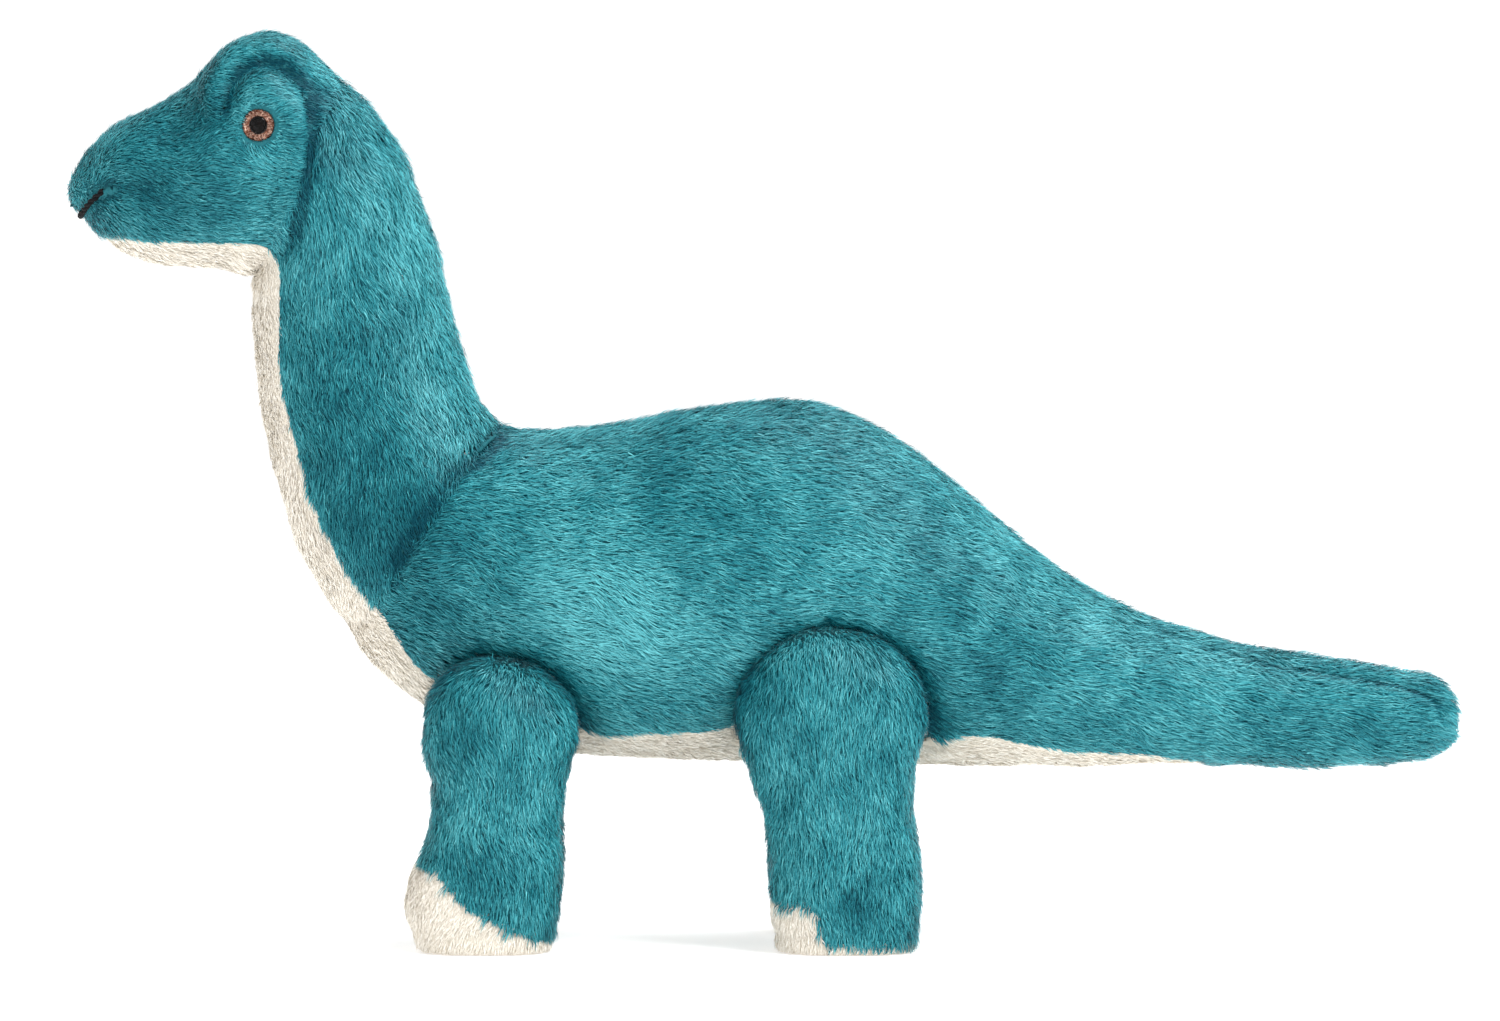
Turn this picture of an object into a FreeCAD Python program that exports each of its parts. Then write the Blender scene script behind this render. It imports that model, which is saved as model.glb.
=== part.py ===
import FreeCAD, Part
import math
import os

# Stuffed long-necked dinosaur: fur fabric sewn round a fibre filling, with safety eyes and a stitched mouth.
#
# Millimetres. +Z is up and the soles stand on Z = 0. The head points to -X, the tail to +X, and the toy's
# left side is -Y. Every panel of fabric is a shell, and the filling inside it is a separate solid. The filling
# is parted where the toy flexes: at the base of the neck, behind the head, at the root of the tail and at the
# top of each leg.

Vector = FreeCAD.Vector
doc = FreeCAD.newDocument("StuffedDinosaur")
sheet = doc.addObject("Spreadsheet::Sheet", "Sizes")

# Driving dimensions: name, millimetres or degrees, what it is.
SIZES = [
    ("skin", 3.0, "fur fabric: backing with its pile pressed flat"),
    ("fill_gap", 0.3, "between the fabric and the filling"),
    ("joint_gap", 0.5, "between two pieces of filling that turn on each other"),
    ("reach", 300, "larger than the toy, for cutting it in two"),
    ("neck_knuckle", 38, "radius of the filling that turns at the base of the neck"),
    ("head_knuckle", 26, "radius of the filling that turns behind the head"),
    ("tail_knuckle", 27, "radius of the filling that turns at the root of the tail"),
    ("tail_hinge_x", 76, "root of the tail"),
    ("flex", 14, "room that neck, head and legs need to bend, in degrees"),
    ("tail_flex", 22, "room that the tail needs to swing, in degrees"),
    ("leg_y", 41, "middle of a leg from the toy's middle plane"),
    ("hip_inside", 22.5, "inner face of a hip from the middle plane"),
    ("hip_outside", 60, "outer face of a hip from the middle plane"),
    ("hip_round", 12, "rounding of a hip's outer edge"),
    ("hip_inner_round", 3.6, "rounding of a hip's inner edge"),
    ("pocket_gap", 0.6, "between a hip and the body fabric round it"),
    ("pocket_ease", 4, "between a hip and the body filling round it"),
    ("sole_thick", 3.0, "sole"),
    ("sole_round", 1.2, "rounding of a sole's lower edge"),
    ("eye_x", -172.6, "middle of an eye"),
    ("eye_z", 282.6, "middle of an eye"),
    ("eye_seat", 32.0, "back of an eye's lens from the middle plane"),
    ("eye_radius", 6.0, "lens"),
    ("eye_dome", 3.4, "height of the lens"),
    ("pupil_radius", 2.8, "pupil"),
    ("pupil_thick", 1.4, "pupil"),
    ("shank_radius", 2.0, "shank of an eye"),
    ("shank_length", 13, "shank of an eye"),
    ("ridge", 0.35, "height of a ridge on the shank"),
    ("ridge_pitch", 2.6, "from ridge to ridge"),
    ("glitter_thick", 0.3, "glitter disc behind the lens"),
    ("glitter_radius", 5.5, "glitter disc behind the lens"),
    ("washer_radius", 7.5, "locking washer"),
    ("washer_thick", 2.0, "locking washer"),
    ("washer_bore", 2.42, "hole in the locking washer, just over the ridges"),
    ("thread_radius", 1.0, "twisted mouth thread"),
    ("mouth_corner_x", -226.7, "corner of the mouth"),
    ("mouth_corner_y", 18.6, "corner of the mouth"),
    ("mouth_corner_z", 260.0, "corner of the mouth"),
    ("mouth_front_x", -235.9, "front of the mouth"),
    ("mouth_front_z", 250.2, "front of the mouth"),
]

# Cross-sections of the toy, each an ellipse square to its run of the body:
# name, point on the back (x, z), point on the belly (x, z), half width.
BODY = [
    ("tailend", 239.2, 82.5, 239.2, 75.5, 3),
    ("tailtip", 237, 87.5, 237, 70.5, 7.7),
    ("tailcap", 232, 91.5, 232, 66.5, 11.7),
    ("tailthin", 222, 93.8, 222, 64.3, 14),
    ("tailslim", 200, 97, 200, 63, 16),
    ("tailmid", 170, 102, 171, 62.5, 18.5),
    ("tailfull", 140, 110, 142, 62.5, 22),
    ("tailwide", 115, 121.5, 119, 62, 26.5),
    ("tailroot", 92, 137, 97, 61.7, 33),
    ("rump", 70, 155.5, 75, 61.7, 40),
    ("loin", 48, 173, 51, 61.9, 46),
    ("haunch", 26, 184.5, 27, 62.5, 50),
    ("back", 2, 187.7, 2, 63, 52.5),
    ("ribs", -25, 184.6, -26, 64, 53),
    ("withers", -52, 179.4, -58, 65.5, 51.5),
    ("breast", -73, 177.2, -90, 70, 48),
    ("chest", -84, 178, -118, 81, 43.5),
    ("shoulder", -91, 180.5, -143, 106.5, 39),
]
NECK = [
    ("shoulder", -91, 180.5, -143, 106.5, 39),
    ("neckbase", -97, 187.5, -157, 127, 34.5),
    ("necklow", -101.5, 199, -166.5, 151, 31),
    ("neckmid", -105, 212, -172, 175, 29),
    ("neckhigh", -108, 225, -175.5, 198, 28),
    ("nape", -111.5, 238, -176.5, 216, 27.5),
    ("throat", -118.5, 260, -176, 225.5, 28.5),
    ("jaw", -130, 283, -174.5, 229.5, 30.5),
    ("poll", -146, 299.5, -173.5, 232, 32),
]
HEAD = [
    ("poll", -146, 299.5, -173.5, 232, 32),
    ("crown", -159, 311, -180, 231.4, 33.5),
    ("brow", -173, 314.4, -188, 232.2, 34.2),
    ("forehead", -185.5, 308.8, -195, 232.5, 33),
    ("cheek", -196, 297.5, -202, 233, 30),
    ("snout", -207, 290.5, -210, 234, 27),
    ("muzzle", -217, 285.5, -218, 236.5, 24),
    ("lip", -226.5, 280, -226.5, 241.5, 19),
    ("nose", -234, 272, -233.5, 247.5, 12),
    ("nosetip", -238, 265, -237.6, 252.5, 6),
    ("noseend", -239.2, 261.5, -239.2, 256, 2.6),
]
TAIL_ENDS = 2  # sections at the tail's end that only the outside has
NOSE_ENDS = 2  # sections at the nose's end that only the outside has

# A leg's cross-sections, level with the floor: height, front (x), back (x), half thickness across the toy.
FRONT_LEG = [
    (3, -118.5, -72.5, 20.5),
    (8, -122, -71.5, 21),
    (15, -123, -71, 21),
    (23, -121, -70.5, 20.4),
    (33, -117, -70, 19.4),
    (46, -114, -69.6, 18.6),
    (60, -113.8, -67.5, 18.6),
    (73, -116, -66, 18.4),
]
REAR_LEG = [
    (3, 6, 50.5, 20.5),
    (8, 4.5, 52, 21),
    (15, 3.4, 52.8, 21),
    (23, 2.7, 53.4, 20.5),
    (33, 2.2, 53, 19.6),
    (46, 1, 51, 18.8),
    (60, -4.5, 50.6, 18.6),
    (78, -8, 54, 18.4),
]
# name, sections, hip (x, z, radius), edge of the toe cap as two points (x, z) on the side of the foot
LEGS = [
    ("front", FRONT_LEG, (-91, 73, 27.5), (-123, 26, -71, 3.5)),
    ("rear", REAR_LEG, (23, 78, 32.8), (2, 18, 26, 3.2)),
]

# Where fabric panels meet on the side of the toy, as points (x, z).
BELLY_LINE = [
    (-170.5, 236),
    (-167.2, 222),
    (-167.4, 205),
    (-165.6, 190),
    (-161, 171),
    (-154.5, 150),
    (-145, 132),
    (-132, 114),
    (-117, 92),
    (-95, 78),
    (-62, 73),
    (-30, 74.4),
    (0, 73),
    (45, 68.5),
    (71, 72.6),
    (102, 67.4),
    (134, 65),
    (164, 61),
]
CHIN_LINE = [(-243, 243), (-226, 243), (-208, 241.8), (-190, 241.2), (-176, 239.4), (-160, 236.5)]
CROWN_LINE = [
    (-243, 266),
    (-228.7, 277.4),
    (-214, 282),
    (-199, 283.2),
    (-188, 284.6),
    (-183, 290),
    (-181, 298.5),
    (-173, 304.4),
    (-164, 302.4),
    (-158.4, 294.8),
    (-142, 293.5),
]

PARTS = {}  # sub-part name: object of the document


def put_in_sheet():
    """Writes every driving dimension and cross-section into the sheet, one row each."""
    rows = [(alias, value, note) for alias, value, note in SIZES]
    for name, back_x, back_z, belly_x, belly_z, half_width in BODY + NECK[1:] + HEAD[1:]:
        rows += [
            (name + "_back_x", back_x, "section, point on the back"),
            (name + "_back_z", back_z, "section, point on the back"),
            (name + "_belly_x", belly_x, "section, point on the belly"),
            (name + "_belly_z", belly_z, "section, point on the belly"),
            (name + "_half", half_width, "section, half width"),
        ]
    for leg, sections, hip, edge in LEGS:
        for letter, (height, front, back, half) in zip("abcdefgh", sections):
            alias = f"{leg}leg_{letter}"
            rows += [
                (alias + "_height", height, "leg section, height"),
                (alias + "_front", front, "leg section, front"),
                (alias + "_back", back, "leg section, back"),
                (alias + "_half", half, "leg section, half thickness"),
            ]
        rows += [
            (leg + "hip_x", hip[0], "hip, middle"),
            (leg + "hip_z", hip[1], "hip, middle"),
            (leg + "hip_radius", hip[2], "hip, radius"),
        ]
    for row, (alias, value, note) in enumerate(rows, 1):
        sheet.set(f"A{row}", alias)
        sheet.set(f"B{row}", str(value))
        sheet.set(f"C{row}", note)
        sheet.setAlias(f"B{row}", alias)


def size(alias):
    return float(sheet.get(alias))


def bind(obj, **expressions):
    """Binds an object's properties to the sheet. place_x is its Placement's x, and so on."""
    places = {"place_x": "Placement.Base.x", "place_y": "Placement.Base.y", "place_z": "Placement.Base.z"}
    for name, expression in expressions.items():
        obj.setExpression(places.get(name, name), expression)
    return obj


def boolean(kind, name, first, second):
    """Part::Cut, Part::Fuse or Part::Common of two objects."""
    obj = doc.addObject("Part::" + kind, name)
    obj.Base, obj.Tool = first, second
    return obj


def cut(name, first, *tools):
    for n, tool in enumerate(tools):
        first = boolean("Cut", name if n == len(tools) - 1 else f"{name}_cut{n}", first, tool)
    return first


def common(name, first, second):
    return boolean("Common", name, first, second)


def fuse(name, first, second):
    return boolean("Fuse", name, first, second)


def part(label, obj):
    """Names an object of the document as a sub-part."""
    obj.Label = label
    PARTS[label] = obj
    return obj


def feature(name, shape):
    obj = doc.addObject("Part::Feature", name)
    obj.Shape = shape
    return obj


# ---------------------------------------------------------------- layers of the body

# Each layer of the toy and the sizes that it lies in from the outside by.
LAYERS = {"outside": [], "lining": ["skin"], "fill": ["skin", "fill_gap"]}


def section_ellipse(prefix, row, layer):
    """One cross-section as a sketch: an ellipse in four arcs, its long axis from the belly to the back."""
    name = row[0]
    back_x, back_z = f"Sizes.{name}_back_x", f"Sizes.{name}_back_z"
    belly_x, belly_z = f"Sizes.{name}_belly_x", f"Sizes.{name}_belly_z"
    inset = sum(size(alias) for alias in LAYERS[layer])
    length = math.dist((row[1], row[2]), (row[3], row[4]))
    ellipse = Part.Ellipse(Vector(), length / 2 - inset, size(name + "_half") - inset)
    sketch = doc.addObject("Sketcher::SketchObject", f"{prefix}_{name}_{layer}")
    for quarter in range(4):
        start = math.pi * (0.25 + 0.5 * quarter)
        sketch.addGeometry(Part.ArcOfEllipse(ellipse, start, start + math.pi / 2), False)
    sketch.Placement = FreeCAD.Placement(Vector(), FreeCAD.Rotation(Vector(0, 1, 0), -80))
    bind(sketch, place_x=f"({back_x} + {belly_x}) / 2", place_z=f"({back_z} + {belly_z}) / 2")
    sketch.setExpression("Placement.Rotation.Angle", f"-atan2({back_z} - {belly_z}; {back_x} - {belly_x})")
    return sketch


def body_loft(prefix, rows, layer):
    loft = doc.addObject("Part::Loft", f"{prefix}_{layer}")
    loft.Sections = [section_ellipse(prefix, row, layer) for row in rows]
    loft.Solid = True
    loft.Ruled = False
    return loft


def half_space(name, left):
    """The toy's left half (-Y) or right half (+Y), as a box."""
    box = doc.addObject("Part::Box", name)
    bind(
        box,
        Length="2 * Sizes.reach",
        Width="Sizes.reach",
        Height="2 * Sizes.reach",
        place_x="-Sizes.reach",
        place_z="-Sizes.reach / 2",
        place_y="-Sizes.reach" if left else "0",
    )
    return box


def zone(name, line, closing):
    """A block across the toy, bounded by a smooth line on its side and by straight lines through closing."""
    curve = Part.BSplineCurve()
    curve.interpolate([Vector(x, z, 0) for x, z in line])
    corners = [Vector(x, z, 0) for x, z in (line[-1], *closing, line[0])]
    return plate(name, [curve] + lines(*corners))


# ---------------------------------------------------------------- filling that flexes


def turning_cylinder(name, x, z, radius, upright=False):
    """A cylinder round a hinge line, right across the toy. The line runs along Y, or along Z if upright."""
    cylinder = doc.addObject("Part::Cylinder", name)
    turn = FreeCAD.Rotation() if upright else FreeCAD.Rotation(Vector(1, 0, 0), -90)
    cylinder.Placement = FreeCAD.Placement(Vector(), turn)
    bind(cylinder, Radius=radius, Height="2 * Sizes.reach", place_x=x)
    if upright:
        bind(cylinder, place_z="-Sizes.reach")
    else:
        bind(cylinder, place_y="-Sizes.reach", place_z=z)
    return cylinder


def ball(name, x, z, radius):
    sphere = doc.addObject("Part::Sphere", name)
    return bind(sphere, Radius=radius, place_x=x, place_z=z)


def plate(name, edges):
    """A closed outline of edges, drawn in the toy's middle plane and extruded right across it."""
    sketch = doc.addObject("Sketcher::SketchObject", name + "_outline")
    sketch.Placement = FreeCAD.Placement(Vector(), FreeCAD.Rotation(Vector(1, 0, 0), 90))
    for edge in edges:
        sketch.addGeometry(edge, False)
    block = doc.addObject("Part::Extrusion", name)
    block.Base = sketch
    block.DirMode = "Normal"
    block.Solid = True
    block.Symmetric = True
    return bind(block, LengthFwd="2 * Sizes.reach")


def lines(*corners):
    return [Part.LineSegment(a, b) for a, b in zip(corners, corners[1:])]


def turned(direction, degrees):
    """A direction in the drawing plane, turned anticlockwise."""
    a = math.radians(degrees)
    x, y = direction.x, direction.y
    return Vector(x * math.cos(a) - y * math.sin(a), x * math.sin(a) + y * math.cos(a), 0)


def meeting(a, a_way, b, b_way):
    """Where two lines in the drawing plane meet."""
    cross = a_way.x * b_way.y - a_way.y * b_way.x
    t = ((b.x - a.x) * b_way.y - (b.y - a.y) * b_way.x) / cross
    return a + a_way * t


def hinge_of(section):
    """Middle of a section and the direction from its belly to its back, in the drawing plane (x, z)."""
    row = next(r for r in BODY + NECK + HEAD if r[0] == section)
    back, belly = Vector(row[1], row[2], 0), Vector(row[3], row[4], 0)
    return (back + belly) * 0.5, (back - belly).normalize()


def middle(section):
    """Sheet expressions for the x and z of a section's middle."""
    return (
        f"(Sizes.{section}_back_x + Sizes.{section}_belly_x) / 2",
        f"(Sizes.{section}_back_z + Sizes.{section}_belly_z) / 2",
    )


def neck_outline():
    """The neck's filling from the side: a knuckle in the body, and slanting ends that leave room to bend."""
    low, low_back = hinge_of("shoulder")
    high, high_back = hinge_of("poll")
    flex, radius = size("flex"), size("neck_knuckle")
    rear_way, front_way = turned(low_back, flex), turned(low_back * -1, -flex)
    rear = meeting(low, rear_way, high, turned(high_back, -flex))
    front = meeting(low, front_way, high, turned(high_back * -1, flex))
    knuckle_rear, knuckle_front = low + rear_way * radius, low + front_way * radius
    below = low + turned(low_back, -90) * radius
    outline = lines(knuckle_rear, rear, high, front, knuckle_front)
    return outline + [Part.Arc(knuckle_front, below, knuckle_rear)]


def tail_outline():
    """The tail's filling from above: a knuckle at its root, and slanting sides that leave room to swing."""
    radius, reach = size("tail_knuckle"), size("reach")
    root = Vector(size("tail_hinge_x"), 0, 0)
    left, right = turned(Vector(0, -1, 0), size("tail_flex")), turned(Vector(0, 1, 0), -size("tail_flex"))
    corners = [root + right * radius, root + right * reach, root + left * reach, root + left * radius]
    return lines(*corners) + [Part.Arc(corners[3], root - Vector(radius, 0, 0), corners[0])]


def make_fillings(pockets):
    """Filling of the body, tail, neck and head, parted so that each can turn on the next."""
    body = body_loft("body", BODY[TAIL_ENDS:], "fill")
    neck = body_loft("neck", NECK, "fill")
    head = body_loft("head", HEAD[:-NOSE_ENDS], "fill")
    neck_x, neck_z = middle("shoulder")
    head_x, head_z = middle("poll")
    neck_cup = turning_cylinder("neck_cup", neck_x, neck_z, "Sizes.neck_knuckle + Sizes.joint_gap")
    head_ball = ball("head_ball", head_x, head_z, "Sizes.head_knuckle")
    head_cup = ball("head_cup", head_x, head_z, "Sizes.head_knuckle + Sizes.joint_gap")
    tail_room = "Sizes.tail_knuckle + Sizes.joint_gap"
    tail_cup = turning_cylinder("tail_cup", "Sizes.tail_hinge_x", "0", tail_room, upright=True)

    tail_block = plate("tail_block", tail_outline())
    tail_block.Base.Placement = FreeCAD.Placement()
    part("tail_stuffing", common("tail_fill", body, tail_block))

    behind = doc.addObject("Part::Box", "behind_tail_root")
    bind(
        behind,
        Length="Sizes.reach",
        Width="2 * Sizes.reach",
        Height="2 * Sizes.reach",
        place_x="Sizes.tail_hinge_x",
        place_y="-Sizes.reach",
        place_z="-Sizes.reach",
    )
    part("body_stuffing", cut("body_fill", body, behind, tail_cup, neck_cup, *pockets))

    column = common("neck_column", fuse("neck_and_body", body, neck), plate("neck_block", neck_outline()))
    part("neck_stuffing", fuse("neck_fill", column, head_ball))

    eye_pockets = [eye_pocket(side) for side in ("left", "right")]
    part("head_stuffing", cut("head_fill", head, head_cup, *eye_pockets))


# ---------------------------------------------------------------- fabric of the body


def make_body_fabric(pockets, left, right):
    belly = zone("belly_zone", BELLY_LINE, [(164, 20), (-260, 20), (-260, 236)])
    outside = body_loft("body", BODY, "outside")
    lining = body_loft("body", BODY[TAIL_ENDS:], "lining")
    shell = cut("body_shell", outside, lining, *pockets)
    part("belly_panel", common("belly_fabric", shell, belly))
    sides = cut("body_sides", shell, belly)
    part("body_side_left", common("body_left", sides, left))
    part("body_side_right", common("body_right", sides, right))

    shell = cut("neck_shell", body_loft("neck", NECK, "outside"), body_loft("neck", NECK, "lining"))
    part("throat_panel", common("throat_fabric", shell, belly))
    sides = cut("neck_sides", shell, belly)
    part("neck_side_left", common("neck_left", sides, left))
    part("neck_side_right", common("neck_right", sides, right))


def make_head_fabric(left, right):
    chin = zone("chin_zone", CHIN_LINE, [(-140, 236.5), (-140, 200), (-243, 200)])
    crown = zone("crown_zone", CROWN_LINE, [(-120, 293.5), (-120, 340), (-243, 340)])
    outside = body_loft("head", HEAD, "outside")
    lining = body_loft("head", HEAD[:-NOSE_ENDS], "lining")
    thread = mouth_thread()
    shell = cut("head_cloth", outside, lining, thread)
    part("mouth_thread", thread)
    part("chin_panel", common("chin_fabric", shell, chin))
    part("crown_panel", common("crown_fabric", shell, crown))
    sides = cut("head_sides", shell, chin, crown)
    for side, half in (("left", left), ("right", right)):
        cheek = common("head_" + side, sides, half)
        seat = eye_seat(side)
        part("head_side_" + side, cut("head_cloth_" + side, cheek, seat))


def mouth_thread():
    """The mouth is one twisted thread round the front of the snout, from corner to corner."""
    corner_x, corner_y, corner_z = size("mouth_corner_x"), size("mouth_corner_y"), size("mouth_corner_z")
    start, end = Vector(corner_x, -corner_y, corner_z), Vector(corner_x, corner_y, corner_z)
    front = Vector(size("mouth_front_x"), 0, size("mouth_front_z"))
    arc = Part.Arc(start, front, end)
    path = Part.Wire(arc.toShape())
    tangent = arc.tangent(arc.FirstParameter)[0]
    ring = Part.Wire(Part.Circle(start, tangent, size("thread_radius")).toShape())
    return feature("mouth", path.makePipeShell([ring], True, True))


# ---------------------------------------------------------------- eyes


def eye_place(side):
    """The eye's own +Z points out of the head."""
    out = -1 if side == "left" else 1
    turn = FreeCAD.Rotation(Vector(1, 0, 0), 90 if out < 0 else -90)
    return FreeCAD.Placement(Vector(0, 0, 0), turn), ("-" if out < 0 else "") + "Sizes.eye_seat"


def place_on_eye(obj, side):
    placement, out = eye_place(side)
    obj.Placement = placement
    return bind(obj, place_x="Sizes.eye_x", place_y=out, place_z="Sizes.eye_z")


def eye_cylinder(name, side, radius, low, high):
    """A cylinder on the eye's axis, from low to high, measured outwards from the back of the lens."""
    cylinder = doc.addObject("Part::Cylinder", name)
    placement, out = eye_place(side)
    cylinder.Placement = placement
    sign = "-" if side == "left" else "+"
    bind(
        cylinder,
        Radius=radius,
        Height=f"({high}) - ({low})",
        place_x="Sizes.eye_x",
        place_y=f"{out} {sign} ({low})",
        place_z="Sizes.eye_z",
    )
    return cylinder


def eye_seat(side):
    """What the eye takes out of the fabric: a flat seat for the lens and a hole for the shank."""
    lens = "Sizes.eye_radius + 0.2"
    lens_room = eye_cylinder("lens_room_" + side, side, lens, "-Sizes.glitter_thick", "10")
    shank_room = eye_cylinder("shank_room_" + side, side, "Sizes.shank_radius + 0.6", "-10", "1")
    return fuse("eye_seat_" + side, lens_room, shank_room)


def eye_pocket(side):
    """What the shank and the washer take out of the filling."""
    radius, low = "Sizes.washer_radius + 0.5", "-Sizes.shank_length - 1"
    return eye_cylinder("eye_pocket_" + side, side, radius, low, "10")


def revolved(name, side, outline):
    """A PartDesign body: outline, as points (radius, height), turned round the eye's axis."""
    body = doc.addObject("PartDesign::Body", name)
    sketch = body.newObject("Sketcher::SketchObject", name + "_sketch")
    plane = next(f for f in body.Origin.OriginFeatures if f.Role == "XZ_Plane")
    sketch.AttachmentSupport = [(plane, "")]
    sketch.MapMode = "FlatFace"
    points = [Vector(radius, height, 0) for radius, height in outline]
    for edge in lines(*points, points[0]):
        sketch.addGeometry(edge, False)
    doc.recompute()
    turn = body.newObject("PartDesign::Revolution", name + "_turned")
    turn.Profile = sketch
    turn.ReferenceAxis = (sketch, ["V_Axis"])
    turn.Angle = 360
    doc.recompute()
    return place_on_eye(body, side)


def dome_outline():
    """The lens from its foot to its top, as short chords of one arc."""
    radius, height = size("eye_radius"), size("eye_dome")
    bow = (radius**2 + height**2) / (2 * height)
    steps = 8
    low = math.asin((bow - height) / bow)
    angles = [low + (math.pi / 2 - low) * n / steps for n in range(steps + 1)]
    return [(bow * math.cos(a), bow * math.sin(a) - (bow - height)) for a in angles[:-1]] + [(0, height)]


def shank_outline():
    """The pupil's flat head and the ridged shank under it."""
    shank, ridge, pitch = size("shank_radius"), size("ridge"), size("ridge_pitch")
    pupil, thick = size("pupil_radius"), size("pupil_thick")
    outline = [(0, thick), (pupil, thick), (pupil, 0), (shank, 0)]
    height = -pitch
    while height > -size("shank_length") + pitch:
        outline += [(shank, height), (shank + ridge, height), (shank, height - pitch / 2)]
        height -= pitch
    return outline + [(shank, -size("shank_length")), (0, -size("shank_length"))]


def make_eye(side):
    """A safety eye: a black pupil with its shank, a clear lens over it, a glitter disc and a washer."""
    thick, bore = size("glitter_thick"), size("washer_bore")
    pupil, lid = size("pupil_radius"), size("pupil_thick")
    part("eye_core_" + side, revolved("eye_core_" + side, side, shank_outline()))
    lens = dome_outline() + [(0, lid), (pupil, lid), (pupil, 0)]
    part("eye_lens_" + side, revolved("eye_lens_" + side, side, lens))
    glitter, inner = size("glitter_radius"), size("shank_radius") + 0.1
    ring = [(inner, -thick), (glitter, -thick), (glitter, 0), (inner, 0)]
    part("eye_glitter_" + side, revolved("eye_glitter_" + side, side, ring))
    top = -thick - size("skin") - 0.8
    foot = top - size("washer_thick")
    rim, boss = size("washer_radius"), bore + 1.6
    washer = [(bore, foot - 1.2), (boss, foot - 1.2), (boss, foot)]
    washer += [(rim, foot + 0.6), (rim, top), (bore, top)]
    part("eye_washer_" + side, revolved("eye_washer_" + side, side, washer))


# ---------------------------------------------------------------- legs


def leg_shape(leg, side, layer):
    """Shaft and round hip of a leg, for one layer, fused."""
    sign = "-" if side == "left" else ""
    name = f"{leg}_{side}_{layer}"
    inset = "(" + " + ".join(["0"] + ["Sizes." + alias for alias in LAYERS[layer]]) + ")"
    loft = doc.addObject("Part::Loft", f"leg_{name}")
    ellipses = []
    for letter in "abcdefgh":
        alias = f"Sizes.{leg}leg_{letter}"
        ellipse = doc.addObject("Part::Ellipse", f"leg_{name}_{letter}")
        lift = " + Sizes.fill_gap" if layer == "fill" and letter == "a" else ""
        bind(
            ellipse,
            MajorRadius=f"({alias}_back - {alias}_front) / 2 - {inset}",
            MinorRadius=f"{alias}_half - {inset}",
            place_x=f"({alias}_back + {alias}_front) / 2",
            place_y=f"{sign}Sizes.leg_y",
            place_z=f"{alias}_height{lift}",
        )
        ellipses.append(ellipse)
    loft.Sections = ellipses
    loft.Solid = True
    loft.Ruled = False

    hip = doc.addObject("Part::Cylinder", f"hip_{name}")
    turn = FreeCAD.Rotation(Vector(1, 0, 0), 90 if side == "left" else -90)
    hip.Placement = FreeCAD.Placement(Vector(), turn)
    bind(
        hip,
        Radius=f"Sizes.{leg}hip_radius - {inset}",
        Height=f"Sizes.hip_outside - Sizes.hip_inside - 2 * {inset}",
        place_x=f"Sizes.{leg}hip_x",
        place_y=f"{sign}(Sizes.hip_inside + {inset})",
        place_z=f"Sizes.{leg}hip_z",
    )
    doc.recompute()
    rounded = doc.addObject("Part::Fillet", f"hip_round_{name}")
    rounded.Base = hip
    edges = []
    for n, edge in enumerate(hip.Shape.Edges, 1):
        if edge.Closed:
            outer = abs(edge.BoundBox.Center.y) > size("leg_y")
            radius = size("hip_round") if outer else size("hip_inner_round")
            edges.append((n, radius, radius))
    rounded.Edges = edges
    return fuse(f"leg_shape_{name}", loft, rounded)


def hip_cylinder(leg, side, gap, inside):
    """A cylinder round a hip, from the plane inside outwards."""
    sign = "-" if side == "left" else ""
    cylinder = doc.addObject("Part::Cylinder", f"pocket_{leg}_{side}")
    turn = FreeCAD.Rotation(Vector(1, 0, 0), 90 if side == "left" else -90)
    cylinder.Placement = FreeCAD.Placement(Vector(), turn)
    return bind(
        cylinder,
        Radius=f"Sizes.{leg}hip_radius + {gap}",
        Height="Sizes.reach",
        place_x=f"Sizes.{leg}hip_x",
        place_y=f"{sign}({inside})",
        place_z=f"Sizes.{leg}hip_z",
    )


def toe_zone(leg, edge):
    """What lies below the edge of the toe cap."""
    front_x, front_z, back_x, back_z = edge
    slope = (front_z - back_z) / (front_x - back_x)
    reach = 60
    corners = [
        (front_x - reach, front_z - slope * reach),
        (back_x + reach, back_z + slope * reach),
        (back_x + reach, back_z - reach),
        (front_x - reach, back_z - reach),
    ]
    points = [Vector(x, z, 0) for x, z in corners]
    return plate("toe_zone_" + leg, lines(*points, points[0]))


def sole(leg, side):
    """A flat pad under the foot, as a sketch, a pad and a rounded lower edge."""
    name = f"sole_{leg}_{side}"
    body = doc.addObject("PartDesign::Body", name)
    sketch = body.newObject("Sketcher::SketchObject", name + "_sketch")
    plane = next(f for f in body.Origin.OriginFeatures if f.Role == "XY_Plane")
    sketch.AttachmentSupport = [(plane, "")]
    sketch.MapMode = "FlatFace"
    front, back = size(f"{leg}leg_a_front"), size(f"{leg}leg_a_back")
    half = size(f"{leg}leg_a_half")
    sketch.addGeometry(Part.Ellipse(Vector(0, 0, 0), (back - front) / 2, half), False)
    doc.recompute()
    pad = body.newObject("PartDesign::Pad", name + "_pad")
    pad.Profile = sketch
    pad.setExpression("Length", "Sizes.sole_thick")
    doc.recompute()
    lower = [n for n, e in enumerate(pad.Shape.Edges, 1) if e.Closed and abs(e.BoundBox.Center.z) < 0.01]
    fillet = body.newObject("PartDesign::Fillet", name + "_edge")
    fillet.Base = (pad, [f"Edge{n}" for n in lower])
    fillet.setExpression("Radius", "Sizes.sole_round")
    sign = "-" if side == "left" else ""
    bind(
        body,
        place_x=f"(Sizes.{leg}leg_a_front + Sizes.{leg}leg_a_back) / 2",
        place_y=f"{sign}Sizes.leg_y",
    )
    doc.recompute()
    return part(name, body)


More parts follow.
